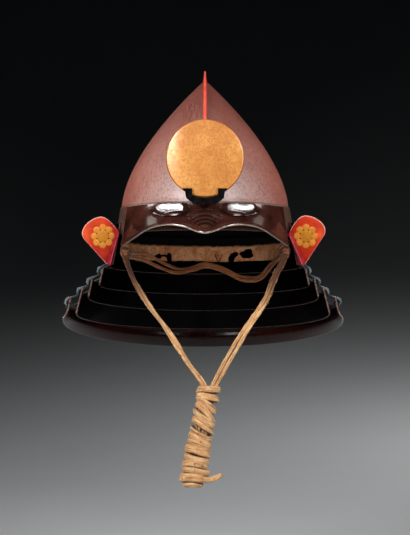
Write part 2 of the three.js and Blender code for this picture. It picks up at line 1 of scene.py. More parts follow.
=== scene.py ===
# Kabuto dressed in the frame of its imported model: metres, +Z up, the face towards -Y. Shapes are worked out in
# millimetres.
from math import acos, asin, atan2, copysign, cos, exp, hypot, pi, radians, sin, sqrt
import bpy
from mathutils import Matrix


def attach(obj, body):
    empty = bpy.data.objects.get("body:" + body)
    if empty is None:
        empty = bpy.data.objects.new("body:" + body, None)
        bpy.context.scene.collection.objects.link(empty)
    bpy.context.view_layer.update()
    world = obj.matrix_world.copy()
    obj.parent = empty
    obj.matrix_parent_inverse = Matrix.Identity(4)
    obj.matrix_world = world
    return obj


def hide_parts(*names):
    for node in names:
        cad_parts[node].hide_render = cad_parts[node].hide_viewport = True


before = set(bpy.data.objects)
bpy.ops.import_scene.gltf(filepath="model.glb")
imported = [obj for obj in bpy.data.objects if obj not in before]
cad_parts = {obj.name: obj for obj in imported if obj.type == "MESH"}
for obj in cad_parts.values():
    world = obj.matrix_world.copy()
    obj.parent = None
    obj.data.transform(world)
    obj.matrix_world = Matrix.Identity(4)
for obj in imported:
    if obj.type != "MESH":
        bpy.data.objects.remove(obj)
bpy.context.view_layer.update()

from types import SimpleNamespace as Sizes

import bmesh
import bpy
from mathutils import Vector, noise

MM = 0.001
TAU = 2 * pi
# Distance between the sections of a cord
STEP = 1.6
scene = bpy.context.scene


# Numbers and curves
def vec(x, y, z):
    return Vector((x, y, z))


def mix(a, b, t):
    return a + (b - a) * t


def clamp(t, low=0.0, high=1.0):
    return min(max(t, low), high)


def ease(t):
    t = clamp(t)
    return t * t * (3 - 2 * t)


def hump(t):
    """1 at 0, falling smoothly to 0 at 1 and -1."""
    return ease(1 - abs(t))


def ripple(point, size, seed=0.0):
    """Smooth noise from -1 to 1 with features of about size millimetres."""
    return noise.noise(Vector(point) / size + vec(seed, 2.3 * seed, -1.7 * seed))


def shares(count):
    """Even shares from 0 to 1."""
    return [k / count for k in range(count + 1)]


def around(count):
    """Even angles of one turn."""
    return [TAU * k / count for k in range(count)]


def bezier(points, count):
    """Points along a Bezier curve, without its first one."""
    made = []
    for t in shares(count)[1:]:
        row = points
        while len(row) > 1:
            row = [a.lerp(b, t) for a, b in zip(row, row[1:])]
        made += row
    return made


def spline(points, t):
    """A point on the smooth curve through points, t from 0 to 1."""
    last = len(points) - 1
    place = clamp(t) * last
    k = min(int(place), last - 1)
    w = place - k
    b, c = points[k], points[k + 1]
    a = points[k - 1] if k > 0 else b * 2 - c
    d = points[k + 2] if k + 2 <= last else c * 2 - b
    ab, bc, cd = (max((q - p).length, 1e-4) ** 0.5 for p, q in ((a, b), (b, c), (c, d)))
    leave = ((b - a) / ab - (c - a) / (ab + bc) + (c - b) / bc) * bc
    enter = ((c - b) / bc - (d - b) / (bc + cd) + (d - c) / cd) * bc
    bend = b * 2 - c * 2 + leave + enter
    turn = c * 3 - b * 3 - leave * 2 - enter
    return b + leave * w + turn * w * w + bend * w * w * w


def lengths(points):
    """How far along the polyline each of its points lies."""
    made = [0.0]
    for p, q in zip(points, points[1:]):
        made.append(made[-1] + (q - p).length)
    return made


def evenly(points, step=STEP):
    """The polyline through points, cut into equal steps."""
    reach = lengths(points)
    count = max(2, round(reach[-1] / step))
    made, k = [], 0
    for n in range(count + 1):
        want = reach[-1] * n / count
        while k < len(points) - 2 and reach[k + 1] < want:
            k += 1
        span = max(reach[k + 1] - reach[k], 1e-9)
        made.append(points[k].lerp(points[k + 1], clamp((want - reach[k]) / span)))
    return made


def through(route):
    """Even points along the smooth curve through a route of places."""
    points = [Vector(p) for p in route]
    return evenly([spline(points, t) for t in shares(24 * len(points))])


def smoothed(values, passes):
    for _ in range(passes):
        inner = [(a + b * 2 + c) / 4 for a, b, c in zip(values, values[1:], values[2:])]
        values = [values[0]] + inner + [values[-1]]
    return values


# Meshes
def placed(name, data):
    thing = bpy.data.objects.new(name, data)
    scene.collection.objects.link(thing)
    return thing


class Form:
    """Points, faces and values at each point of one piece. flow is the distance across and along the piece."""

    def __init__(self):
        self.points, self.flow, self.wear_and_shade = [], [], []
        self.faces, self.slots = [], []

    def point(self, place, flow=(0.0, 0.0), wear_and_shade=0.0):
        self.points.append(place)
        self.flow.append(flow)
        self.wear_and_shade.append(wear_and_shade)
        return len(self.points) - 1

    def face(self, corners, slot=0):
        self.faces.append(corners)
        self.slots.append(slot)

    def rings(self, rings, closed=False, slot=0):
        for a, b in zip(rings, rings[1:] + (rings[:1] if closed else [])):
            for k in range(len(a)):
                n = (k + 1) % len(a)
                self.face((a[k], a[n], b[n], b[k]), slot)
        if not closed:
            self.face(rings[0][::-1], slot)
            self.face(rings[-1], slot)

    def turns(self, stations, sides, place, closed=False, slot=0):
        """Joins a ring of points round each station. place(station, turn) gives what a point takes."""
        self.rings([[self.point(*place(s, turn)) for turn in around(sides)] for s in stations], closed, slot)

    def build(self, name, paints, replaces=(), body="helmet", sharp=42):
        mesh = bpy.data.meshes.new(name)
        mesh.from_pydata([p * MM for p in self.points], [], self.faces)
        mesh.polygons.foreach_set("material_index", self.slots)
        flow = mesh.attributes.new("flow", "FLOAT_VECTOR", "POINT")
        flow.data.foreach_set("vector", [c for u, v in self.flow for c in (u * MM, v * MM, 0.0)])
        wear_and_shade = mesh.attributes.new("wear_and_shade", "FLOAT", "POINT")
        wear_and_shade.data.foreach_set("value", self.wear_and_shade)
        for paint in paints:
            mesh.materials.append(paint)
        shape = bmesh.new()
        shape.from_mesh(mesh)
        bmesh.ops.remove_doubles(shape, verts=shape.verts, dist=2e-6)
        bmesh.ops.recalc_face_normals(shape, faces=shape.faces)
        for face in shape.faces:
            face.smooth = True
        for edge in shape.edges:
            edge.smooth = not (edge.is_manifold and edge.calc_face_angle(0) > radians(sharp))
        shape.to_mesh(mesh)
        shape.free()
        piece = placed(name, mesh)
        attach(piece, body)
        if replaces:
            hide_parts(*replaces)
        return piece


def stations(count, length, wall):
    """Shares from 0 to 1, with extra ones where a rounded edge of the plate turns."""
    near = [wall * k / length for k in (0.0, 0.04, 0.15, 0.32, 0.5)]
    inner = [mix(near[-1], 1 - near[-1], k / count) for k in range(1, count)]
    return near + inner + [1 - t for t in reversed(near)]


def shell(form, us, vs, surface, wall, ring=False, keep=None, reach=1.8, inside=0):
    """A plate of even thickness below surface(u, v), its outer face, with rounded edges. keep(i, j) leaves out cells,
    reach is how far wear goes in from an edge, inside is the paint of the inner face."""
    n, m = len(us), len(vs)
    grid = [[surface(u, v) for v in vs] for u in us]
    across = [lengths(row) for row in grid]
    along = list(zip(*(lengths(column) for column in zip(*grid))))
    half = wall / 2
    outer, inner = [[] for _ in us], [[] for _ in us]
    for i in range(n):
        before, after = (i - 1, (i + 1) % n) if ring else (max(i - 1, 0), min(i + 1, n - 1))
        for j in range(m):
            du = grid[after][j] - grid[before][j]
            dv = grid[i][min(j + 1, m - 1)] - grid[i][max(j - 1, 0)]
            normal = dv.cross(du).normalized()
            edge = min(across[i][j], across[i][-1] - across[i][j])
            if not ring:
                edge = min(edge, along[i][j], along[-1][j] - along[i][j])
            deep = half * sqrt(max(0.0, 1 - (1 - min(edge / half, 1)) ** 2))
            for side, depth in ((outer, half - deep), (inner, half + deep)):
                flow = (along[i][j], across[i][j])
                side[i].append(form.point(grid[i][j] - normal * depth, flow, clamp(1 - edge / reach)))
    columns = range(n if ring else n - 1)
    cells = {(i, j) for i in columns for j in range(m - 1) if keep is None or keep(i, j)}
    for i, j in cells:
        k = (i + 1) % n
        form.face((outer[i][j], outer[i][j + 1], outer[k][j + 1], outer[k][j]))
        form.face((inner[i][j], inner[k][j], inner[k][j + 1], inner[i][j + 1]), inside)
        if keep is None:
            continue
        for gone, a, b in (
            ((i, j - 1), (i, j), (k, j)),
            ((i, j + 1), (k, j + 1), (i, j + 1)),
            ((i - 1, j), (i, j + 1), (i, j)),
            ((i + 1, j), (k, j), (k, j + 1)),
        ):
            if gone not in cells and 0 <= gone[0] < n - 1 and 0 <= gone[1] < m - 1:
                form.face((outer[a[0]][a[1]], outer[b[0]][b[1]], inner[b[0]][b[1]], inner[a[0]][a[1]]))


def frames(centres, facing):
    """For each centre of a sweep: its direction, and the two directions of its section."""
    made = []
    for k in range(len(centres)):
        run = (centres[min(k + 1, len(centres) - 1)] - centres[max(k - 1, 0)]).normalized()
        up = facing[k] - run * facing[k].dot(run)
        up.normalize()
        made.append((run, up, run.cross(up)))
    return made


def tape(form, centres, facing, section, sides=16):
    """Sweeps a soft section along centres. section(k, turn) gives its offset to the side and towards facing, and how
    dark the cloth is there."""
    ways, reach = frames(centres, facing), lengths(centres)

    def place(k, turn):
        x, y, shade_and_soil = section(k, turn)
        _, up, aside = ways[k]
        return centres[k] + aside * x + up * y, (x, reach[k]), shade_and_soil

    form.turns(range(len(centres)), sides, place)


# Materials
def shade(colour):
    """A colour for a shader: a grey from one number, or linear values from three of a screen colour, 0 to 255. Four
    linear values and outputs of nodes stay as they are."""
    if isinstance(colour, (int, float)):
        return (colour, colour, colour, 1.0)
    if not isinstance(colour, tuple) or len(colour) == 4:
        return colour
    shares = [value / 255 for value in colour]
    return (*(s / 12.92 if s <= 0.04045 else ((s + 0.055) / 1.055) ** 2.4 for s in shares), 1.0)


class Value:
    """The output of a node, to reckon with."""

    def __init__(self, paint, socket):
        self.paint, self.socket = paint, socket

    def math(self, operation, other=0.0):
        return self.paint.node("Math", {0: self, 1: other}, operation=operation)

    def __add__(self, other):
        return self.math("ADD", other)

    def __sub__(self, other):
        return self.math("SUBTRACT", other)

    def __mul__(self, other):
        return self.math("MULTIPLY", other)

    def __truediv__(self, other):
        return self.math("DIVIDE", other)

    def __abs__(self):
        return self.math("ABSOLUTE")

    def length(self, other):
        return (self * self + other * other).math("SQRT")


class Paint:
    """One procedural material around its Principled shader. body is its colour so far."""

    def __init__(self, name, gloss=0.5, **sockets):
        self.material = bpy.data.materials.new(name)
        self.material.use_nodes = True
        self.tree = self.material.node_tree
        self.shader = self.tree.nodes["Principled BSDF"]
        for socket, value in dict(sockets, Specular_IOR_Level=gloss).items():
            self.shader.inputs[socket.replace("_", " ")].default_value = value

    def node(self, kind, inputs, output=0, **settings):
        made = self.tree.nodes.new("ShaderNode" + kind)
        for setting, value in settings.items():
            setattr(made, setting, value)
        for key, value in inputs.items():
            if isinstance(value, Value):
                self.tree.links.new(value.socket, made.inputs[key])
            else:
                made.inputs[key].default_value = value
        return Value(self, made.outputs[output])

    def flow(self, across, along):
        """The piece's own directions, scaled to features per metre."""
        way = self.node("Attribute", {}, "Vector", attribute_name="flow")
        return self.node("Mapping", {"Vector": way, "Scale": (across, along, 1.0)})

    def place(self, x=1.0, y=1.0, z=1.0):
        way = self.node("TexCoord", {}, "Object")
        return self.node("Mapping", {"Vector": way, "Scale": (x, y, z)})

    def spot(self):
        """The place across and up, in metres."""
        x = self.node("SeparateXYZ", {"Vector": self.place()}, "X")
        return x, Value(self, x.socket.node.outputs["Z"])

    def wear_and_shade(self):
        return self.node("Attribute", {}, "Fac", attribute_name="wear_and_shade")

    def noise(self, scale, detail=4.0, roughness=0.55, distortion=0.0, on=None):
        return self.node("TexNoise", {
            "Vector": on or self.place(), "Scale": scale, "Detail": detail, "Roughness": roughness,
            "Distortion": distortion,
        })

    def ramp(self, value, *stops):
        made = self.node("ValToRGB", {"Fac": value}, "Color")
        elements = made.socket.node.color_ramp.elements
        while len(elements) < len(stops):
            elements.new(1.0)
        for element, (place, colour) in zip(elements, stops):
            element.position, element.color = place, shade(colour)
        return made

    def blend(self, share, a, b, mode="MIX"):
        return self.node("Mix", {0: share, 6: shade(a), 7: shade(b)}, 2, data_type="RGBA", blend_type=mode)

    def base(self, value, *stops):
        self.body = self.ramp(value, *stops)

    def cover(self, share, colour):
        self.body = self.blend(share, self.body, colour)

    def over(self, colour, value, *stops):
        """Lays on a colour with the share that value has on a ramp."""
        self.cover(self.ramp(value, *stops), colour)

    def dim(self, value, *stops):
        self.body = self.blend(1.0, self.body, self.ramp(value, *stops), "MULTIPLY")

    def done(self, rough=None, height=None, depth=0.0, strength=1.0):
        made = [("Base Color", self.body)]
        if height:
            bump = self.node("Bump", {"Height": height, "Distance": depth, "Strength": strength})
            made += [("Roughness", rough), ("Normal", bump)]
        for socket, value in made:
            self.tree.links.new(value.socket, self.shader.inputs[socket])
        return self.material


def russet_iron():
    paint = Paint("russet_iron", 1.0, Coat_Weight=0.5, Coat_Roughness=0.5)
    streak = paint.noise(1, 5, 0.62, on=paint.flow(620, 42))
    cloud = paint.noise(26, 5, 0.6, 0.4)
    grain = paint.noise(1500, 3)
    x, z = paint.spot()
    height = z * 5
    reach = abs(x) * 8 + height
    paint.base(streak, (0.32, (94, 43, 33)), (0.5, (144, 80, 66)), (0.7, (176, 115, 99)))
    paint.over((152, 94, 82), cloud, (0.38, 0), (0.75, 0.6))
    # reach grows towards the sides and the top: a painted sheen of paler grey lies low in the middle, and the sides
    # turn redder.
    paint.over((158, 120, 110), reach, (0.52, 0.6), (0.72, 0))
    paint.over((154, 72, 50), reach, (0.62, 0), (0.92, 0.65))
    # Painted shade: darker towards the top.
    paint.dim(height, (0.2, 1), (0.62, (206, 182, 172)))
    paint.dim(paint.noise(330, 4, 0.7), (0.36, (170, 150, 146)), (0.5, 1))
    paint.dim(grain, (0.34, 0.45), (0.47, 1))
    rough = paint.ramp(cloud * 0.6 + streak * 0.4, (0.3, 0.42), (0.7, 0.58))
    return paint.done(rough, streak + grain, 0.0002, 0.5)


def shaded_inside():
    # Near-black: painted shade on the inner faces of the bowl and the band; the rosette's dots take it as their own
    # dark colour.
    paint = Paint("bowl_inside", 0.15)
    cloud = paint.noise(40, 6, 0.65)
    paint.base(cloud, (0.3, (4, 3, 3)), (0.7, (9, 6, 5)))
    return paint.done(paint.ramp(cloud, (0.3, 0.5), (0.7, 0.75)), cloud, 0.0006, 0.4)


def painted_leaf_shading(paint):
    """Painted light and shade: lit bright and orange at the crown and outer edge, shaded deep red down at the tip and
    the fold.
    """
    x, z = paint.spot()
    share = abs(x) * 14.3 + z * 9.84 - 0.911
    paint.dim(share, (0.05, (0.42, 0.24, 0.5, 1.0)), (0.6, 1), (0.78, (1.08, 1.7, 1.4, 1.0)))


def red_lacquer(name, low, middle, high, rubbed_edge_and_highlight, gloss, painted_shading=None):
    paint = Paint(name, gloss, Coat_Weight=0.5 * gloss, Coat_Roughness=0.2)
    cloud = paint.noise(70, 5, 0.6)
    grain = paint.noise(900)
    paint.base(cloud, (0.28, low), (0.52, middle), (0.76, high))
    # painted_shading lays painted light and shade over the colour.
    if painted_shading:
        painted_shading(paint)
    # Paler edges, rubbed thin, that also paint a highlight along the rim.
    paint.cover(paint.wear_and_shade() * paint.ramp(grain, (0.35, 0.1), (0.65, 0.9)), rubbed_edge_and_highlight)
    return paint.done(paint.ramp(grain, (0.3, 0.28), (0.7, 0.46)), cloud + grain * 0.3, 0.0003, 0.35)


def shaded_fold_lacquer():
    # A darker magenta copy of the red lacquer: painted shade on the strip that bends round at the fold.
    paint = Paint("shaded_fold_lacquer", Coat_Weight=0.3, Coat_Roughness=0.15)
    cloud = paint.noise(90, 5)
    paint.base(cloud, (0.3, (120, 14, 28)), (0.7, (158, 26, 40)))
    return paint.done(paint.ramp(cloud, (0.3, 0.25), (0.7, 0.4)), cloud, 0.0003, 0.3)


def lacquer(name, dark, light, edge, rough, gloss, coat=0.0, dirt=None):
    """Urushi lacquer: deep colour, soft ripples, and paler edges where it is rubbed thin, which also paint a highlight
    along each edge; dirt lays on painted shade.
    """
    paint = Paint(name, gloss, Coat_Weight=coat, Coat_Roughness=0.06)
    grain = paint.noise(520, 4, 0.6)
    paint.base(paint.noise(38, 5, 0.6, 0.3), (0.35, dark), (0.72, light))
    paint.cover(paint.wear_and_shade() * paint.ramp(grain, (0.36, 0.15), (0.62, 0.9)), edge)
    # Painted shade: dirt darkens the colour to near-black where shade falls.
    if dirt:
        paint.cover(dirt(paint) * 0.85, (8, 4, 3))
    height = paint.noise(60, 2) + grain * 0.12
    return paint.done(paint.ramp(grain, (0.3, rough[0]), (0.7, rough[1])), height, 0.0009, 0.16)


def gilt(name, deep, middle, pale, coat, gloss):
    paint = Paint(name, gloss, Metallic=0.3, Coat_Weight=coat, Coat_Roughness=0.3)
    cloud = paint.noise(30, 6, 0.65, 0.5)
    mottle = paint.noise(340, 5, 0.7)
    scratch = paint.noise(1, 3, 0.6, 0.6, on=paint.place(700, 700, 110))
    paint.base(cloud, (0.3, deep), (0.5, middle), (0.72, pale))
    paint.over((158, 90, 32), mottle, (0.42, 0), (0.62, 0.75))
    paint.over((110, 62, 26), paint.noise(420, 3, 0.5), (0.28, 0.7), (0.35, 0))
    paint.over((124, 52, 30), scratch, (0.27, 0.7), (0.33, 0))
    paint.cover(paint.wear_and_shade() * 0.6, (146, 74, 26))
    return paint.done(paint.ramp(mottle, (0.3, 0.36), (0.7, 0.56)), cloud + mottle * 0.5, 0.0008, 0.3)


def black_iron():
    paint = Paint("black_iron", 0.35)
    grain = paint.noise(160)
    paint.base(grain, (0.3, (5, 4, 4)), (0.7, (13, 9, 8)))
    paint.cover(paint.wear_and_shade() * 0.4, (80, 60, 48))
    return paint.done(paint.ramp(grain, (0.3, 0.14), (0.7, 0.28)), grain, 0.0003, 0.15)


def blue_braid():
    paint = Paint("blue_braid", 0.25, Sheen_Weight=0.35, Sheen_Roughness=0.4)
    left, right = (
        paint.node("TexWave", {"Vector": paint.flow(across, 300), "Scale": 1.0, "Distortion": 0.4, "Detail": 1.0},
                   "Fac", bands_direction="DIAGONAL")
        for across in (420, -420)
    )
    weave = left.math("MAXIMUM", right)
    paint.base(weave, (0.2, (30, 38, 44)), (0.9, (84, 100, 106)))
    paint.over((122, 130, 128), paint.noise(120), (0.4, 0), (0.7, 0.6))
    # Painted shade: the braid darkens away from its knots.
    paint.cover(paint.wear_and_shade(), (16, 20, 24))
    return paint.done(paint.ramp(weave, (0, 0.9), (1, 0.7)), weave, 0.0005, 0.8)


def tan_cloth(name, dark, middle, light):
    """Old linen: fine fibres, long dark creases of painted shade, stains, and painted shade with dirt in the folds and
    on the back.
    """
    paint = Paint(name, 0.15, Sheen_Weight=0.15, Sheen_Roughness=0.5)
    fibre = paint.noise(1, 5, 0.65, on=paint.flow(1100, 80))
    crease = paint.noise(1, 4, 0.6, 0.3, on=paint.flow(430, 30))
    paint.base(fibre, (0.3, dark), (0.48, middle), (0.68, light))
    paint.over((158, 98, 56), paint.noise(75, 5, 0.65, 0.6), (0.42, 0), (0.68, 0.7))
    # Painted shade: long dark lines along the creases.
    paint.over((98, 56, 30), crease, (0.33, 0.8), (0.43, 0))
    paint.over((84, 42, 22), paint.noise(210, 3, 0.6, 0.4), (0.3, 0.85), (0.37, 0))
    # wear_and_shade darkens the back, the sides and the folds: painted shade, with dirt.
    paint.cover(paint.wear_and_shade(), (70, 38, 20))
    return paint.done(paint.ramp(fibre, (0.2, 0.95), (0.8, 0.8)), crease * 1.5 + fibre, 0.0009, 0.8)


def tan_leather():
    """Worn leather, with a ragged upper part blackened as painted shadow."""
    paint = Paint("tan_leather", 0.25)
    stain = paint.noise(55, 6, 0.65, 0.8)
    pore = paint.noise(430, 4, 0.7)
    paint.base(stain, (0.3, (190, 108, 66)), (0.5, (252, 174, 120)), (0.72, (255, 218, 172)))
    paint.over((88, 46, 24), pore, (0.33, 0.85), (0.46, 0))
    paint.cover(paint.wear_and_shade() * 0.45, (70, 42, 24))
    # Painted shadow: the upper part goes black along a ragged line.
    painted_shadow = paint.spot()[1] * 60 + stain * 0.5 + 2.6
    paint.over((4, 3, 2), painted_shadow, (0.3, 0), (0.46, 1))
    return paint.done(paint.ramp(pore, (0.3, 0.85), (0.7, 0.68)), pore + stain, 0.0006, 0.6)


def pale_floor():
    paint = Paint("pale_floor", 0.1, Roughness=0.85)
    paint.base(paint.noise(3, 3), (0.3, (0.59, 0.60, 0.605, 1.0)), (0.7, (0.61, 0.62, 0.625, 1.0)))
    return paint.done()


RUSSET = russet_iron()
INSIDE = shaded_inside()
RED = red_lacquer("red_lacquer", (176, 38, 26), (204, 56, 38), (219, 76, 48), (232, 132, 112), 0.5)
LEAF_RED = red_lacquer("leaf_lacquer", (140, 24, 6), (164, 36, 10), (184, 56, 16), (246, 206, 192), 0.06, painted_leaf_shading)
SHADED_FOLD = shaded_fold_lacquer()
BAND_PAINT = lacquer("brown_lacquer", (60, 40, 33), (88, 62, 52), (120, 86, 70), (0.3, 0.5), 0.35, 0.1)
LAME_PAINT = lacquer("black_lacquer", (2, 1, 1), (4, 2, 2), (120, 94, 84), (0.14, 0.3), 0.05)
LIP_PAINT = lacquer("lip_lacquer", (17, 4, 3), (42, 12, 8), (120, 94, 84), (0.16, 0.26), 0.22)
GILT = gilt("gilt", (172, 102, 38), (196, 130, 54), (214, 154, 78), 0.8, 0.5)
GOLD_MARK = gilt("rosette_gilt", (132, 76, 12), (154, 92, 18), (172, 112, 28), 0.0, 0.15)
GOLD_HEART = gilt("rosette_heart", (112, 68, 6), (132, 84, 10), (150, 100, 18), 0.0, 0.08)
IRON = black_iron()
BRAID = blue_braid()
CLOTH = tan_cloth("tan_cloth", (146, 98, 58), (192, 148, 100), (222, 188, 140))
# A darker, redder copy of the cloth for the back cord and the anchors: stains, and painted shade where they hang in
# shadow.
STAINED_AND_SHADED = tan_cloth("stained_and_shaded_cloth", (124, 66, 38), (176, 108, 66), (204, 144, 98))
LEATHER = tan_leather()


# Camera at the photograph's place and angle
CAMERA_AT = (0.0, -2.0, -0.16)
CAMERA_TO = (0.0, 0.0, -0.074)


def looking(thing, at, to):
    thing.location = at
    thing.rotation_euler = (Vector(to) - thing.location).to_track_quat("-Z", "Y").to_euler()


lens = bpy.data.cameras.new("camera")
lens.sensor_width = 36.0
lens.lens = 107.66
scene.camera = placed("camera", lens)
looking(scene.camera, CAMERA_AT, CAMERA_TO)


# Chin cord: the routes of its runs are those of the solids
CORD_LEFT = [
    (-97, -53, -55.5), (-97, -57, -56), (-97, -60, -61), (-94, -59, -73), (-85.6, -57, -94), (-68.3, -56, -122),
    (-45, -55, -153.5), (-20, -55, -193.5), (-2, -55, -217.5),
]
CORD_RIGHT = [
    (97, -53, -55.5), (97, -57, -56), (97, -60, -61), (93, -59, -72), (85.9, -57, -85.5), (73.7, -56, -116),
    (49.3, -55, -152.5), (31, -55, -183), (12, -55, -217.5),
]
CORD_BACK = [
    (-97, -52.2, -55.5), (-96.7, -49, -55.5), (-92.5, -39, -56), (-96, 0, -57), (-88, 50, -57), (-77, 72, -58),
    (-52, 96, -69), (-35, 107, -74), (-17, 113, -71), (0, 115.5, -66), (14, 114, -68.5), (31, 109, -75.5),
    (47, 100, -83.5), (70, 79, -84.5), (85, 55, -69), (94, 25, -60), (96, -5, -57), (92.5, -39, -56),
    (96.7, -49, -55.5), (97, -52.2, -55.5),
]
# Inside the bundle: the left run turns back up to the collar, the right run goes to the bottom and folds back up
DIVE = [(1, -54, -226), (3, -50.5, -233), (0.5, -47, -236.5), (-5, -46, -233), (-8, -48.5, -227)]
CORE = [
    (3.0, 1.0, -226), (3.5, 1.5, -240), (4.5, 1.0, -290), (4.5, 0.5, -330), (1.5, 0, -337.5), (-3.5, 0, -338),
    (-6.0, 0.5, -331), (-5.5, 0.5, -290), (-4.5, 1, -250), (-4.0, 1.0, -234),
]
TAIL = [(1.5, -61.6, -333), (7.5, -61.4, -332.2), (13.5, -61.8, -330.2), (20, -62.5, -326.8)]
AXIS = Sizes(x=5.5, y=-55.0, top=-221.5, lean=0.185, flat=0.8)
# The wraps of the bundle in the order they are wound: height at its left and at its right, outer radius, width and
# lean of the tape, and rise in the middle
WRAPS = [
    (-223.5, -224.5, 14.2, 8.6, 0.0, 0.3), (-232.5, -236.5, 14.8, 8.8, 0.3, 1.5),
    (-235.5, -251.5, 14.4, 8.8, -0.35, 2.2), (-241.5, -262.5, 13.8, 8.4, 0.35, 2.0),
    (-250.5, -268.5, 15.2, 9.4, -0.3, -0.8), (-260.5, -276.0, 14.6, 8.8, 0.35, 1.5),
    (-271.0, -284.0, 14.8, 7.4, -0.4, -2.4), (-278.5, -290.5, 15.6, 8.0, 0.35, -0.5),
    (-286.0, -298.0, 15.0, 8.6, -0.35, 1.4), (-294.5, -303.0, 16.8, 10.4, 0.25, 1.0),
    (-304.5, -311.5, 16.0, 10.2, -0.25, -1.4), (-313.4, -317.0, 17.0, 8.2, 0.35, 1.2),
    (-321.0, -325.5, 15.8, 8.4, -0.35, 2.2), (-339.0, -340.0, 11.6, 7.0, -0.8, 1.0),
    (-330.4, -332.5, 17.2, 10.4, 0.1, 1.0),
]
# One of the wraps stands off at the right
WRAP = Sizes(thick=6.2, steps=30, folds=0.4, loose=12, stands_off=6.5)
LEFT_TAPE = Sizes(
    width=9.4, loss=2.2, loss_over=70, swell=1.2, swell_at=150, swell_over=40, thick=3.3, end_width=6.4, end_thick=4.6,
    sides=26,
)
# Strands of the other runs: how far apart they lie, how much more where they part, and how they cross
STRAND = Sizes(width=4.6, sides=20)
RIGHT_RUN = Sizes(thick=3.4, core_thick=4.4, apart=2.1, part=2.0, part_at=125, part_over=70, cross=210)
BACK_RUN = Sizes(thick=2.8, apart=1.9, part=2.3, part_at=135, part_over=80, cross=90)
# Depth and width of the two folds along a tape
CREASES = ((0.55, 0.15), (0.4, 0.11))


def axis_point(z):
    return vec(AXIS.x + AXIS.lean * (z - AXIS.top), AXIS.y, z)


def wound():
    """Points of the wraps round the bundle, starting at its left side and passing in front first. With each comes
    the width and the lean of the tape."""
    made = []
    for k, (left, right, radius, width, lean, rise) in enumerate(WRAPS):
        after = WRAPS[min(k + 1, len(WRAPS) - 1)]
        for n in range(WRAP.steps if k < len(WRAPS) - 1 else WRAP.steps * 3 // 8):
            share = n / WRAP.steps
            late = ease(share * 2 - 1)
            turn = TAU * share
            if turn <= pi:
                z = mix(left, right, (1 - cos(turn)) / 2) + rise * sin(turn)
            else:
                z = mix(right, after[0], (1 + cos(turn)) / 2)
            z += 1.3 * ripple((k * 11.0, turn * 3, 0), 3.0, 6.4) * sin(turn)
            wide = mix(radius, after[2], share) - WRAP.thick / 2 + 0.7 * ripple((k * 9.0, turn * 3, 0), 4.0, 3.1)
            if k == WRAP.loose:
                wide += WRAP.stands_off * hump((turn - 0.95 * pi) / 1.1)
            place = axis_point(z) + vec(-wide * cos(turn), -wide * AXIS.flat * sin(turn), 0)
            made.append((place, mix(width, after[3], late), mix(lean, after[4], late)))
    return made


def crumpled(widths, thicks, seed, dirt, offset=(0.0, 0.0), depth=1.0):
    """The section of a soft tape with lengthwise folds that wander, and lumps. dirt darkens its sides and its back,
    mostly as painted shade, depth is the share of the folds' full depth. A list has one value for each step along the
    tape."""
    def section(k, turn):
        width, thick, dark, (aside, up), share = (
            values[k] if isinstance(values, list) else values for values in (widths, thicks, dirt, offset, depth)
        )
        along = k * STEP
        x, y = cos(turn), sin(turn)
        dent = 0.0
        for n, (deep, wide) in enumerate(CREASES):
            fold = 0.75 * ripple((along, n * 40, seed), 34, seed + n)
            wander = 0.55 + 0.45 * ripple((along, 90 + n * 40, seed), 21, seed)
            dent += share * deep * wander * exp(-((x - fold) / wide) ** 2)
        swell = 1 + 0.18 * ripple((along, 0, seed), 11, seed + 2)
        lump = 0.3 * ripple((along, x * 4, seed), 4.5, seed + 5)
        aside += x * width / 2 * swell
        up += copysign(abs(y) ** 0.9, y) * thick / 2 * (1 - dent) + lump * abs(y)
        # Painted shade: darker on the back and sides and in the folds; dirt above 1 darkens the whole tape.
        shade_and_soil = dark * clamp((0.62 - y) / 0.8) + 0.7 * dent + max(dark - 1, 0.0)
        return aside, up, clamp(shade_and_soil)
    return section


def frays(form, line, facing, width, count, seed):
    """Loose fibres that stand off the edges of a tape."""
    made = frames(line, facing)
    for n in range(count):
        k = 2 + int((n * 0.618034 + seed * 0.37) % 1.0 * (len(line) - 14))
        run, up, aside = made[k]
        hand = 1 if (n * 7 + seed) % 3 else -1
        way = 1 if n % 2 else -1
        length = 4 + 7 * abs(ripple((n * 3.0, seed, 0), 1.7, 2))
        lift = 0.6 + 1.6 * abs(ripple((n * 5.0, seed, 4), 1.3, 9))

        def place(t, turn):
            base = line[k] + run * way * length * t + aside * hand * (width / 2 * 0.86 + lift * t * t)
            base += up * (0.5 + 1.2 * ripple((n * 2.0, t, seed), 0.9, 7) * t)
            thin = mix(0.26, 0.06, t)
            return base + (aside * cos(turn) + up * sin(turn)) * thin, (0.8 * turn / TAU, length * t)

        form.turns(shares(4), 4, place)


def turned(line, swing, period, start=0.0):
    """Directions that a flat tape faces along a hanging run as it twists to and fro."""
    twists = [swing * sin(k * STEP / period + start) for k in range(len(line))]
    return [vec(sin(twist), -cos(twist), 0.0) for twist in twists]


def shaded_and_soiled(count, run):
    """Painted shadow and dirt along a run: most near its loop at the temple, under the shadow of the visor, and much
    in the bundle that follows the run.
    """
    return [1.95 - 1.5 * ease((k * STEP - 25) / 110) if k < run else 1.0 for k in range(count)]


def declare(line):
    length = lengths(line)[-1] * MM
    line[0] * MM
    [p * MM for p in line]


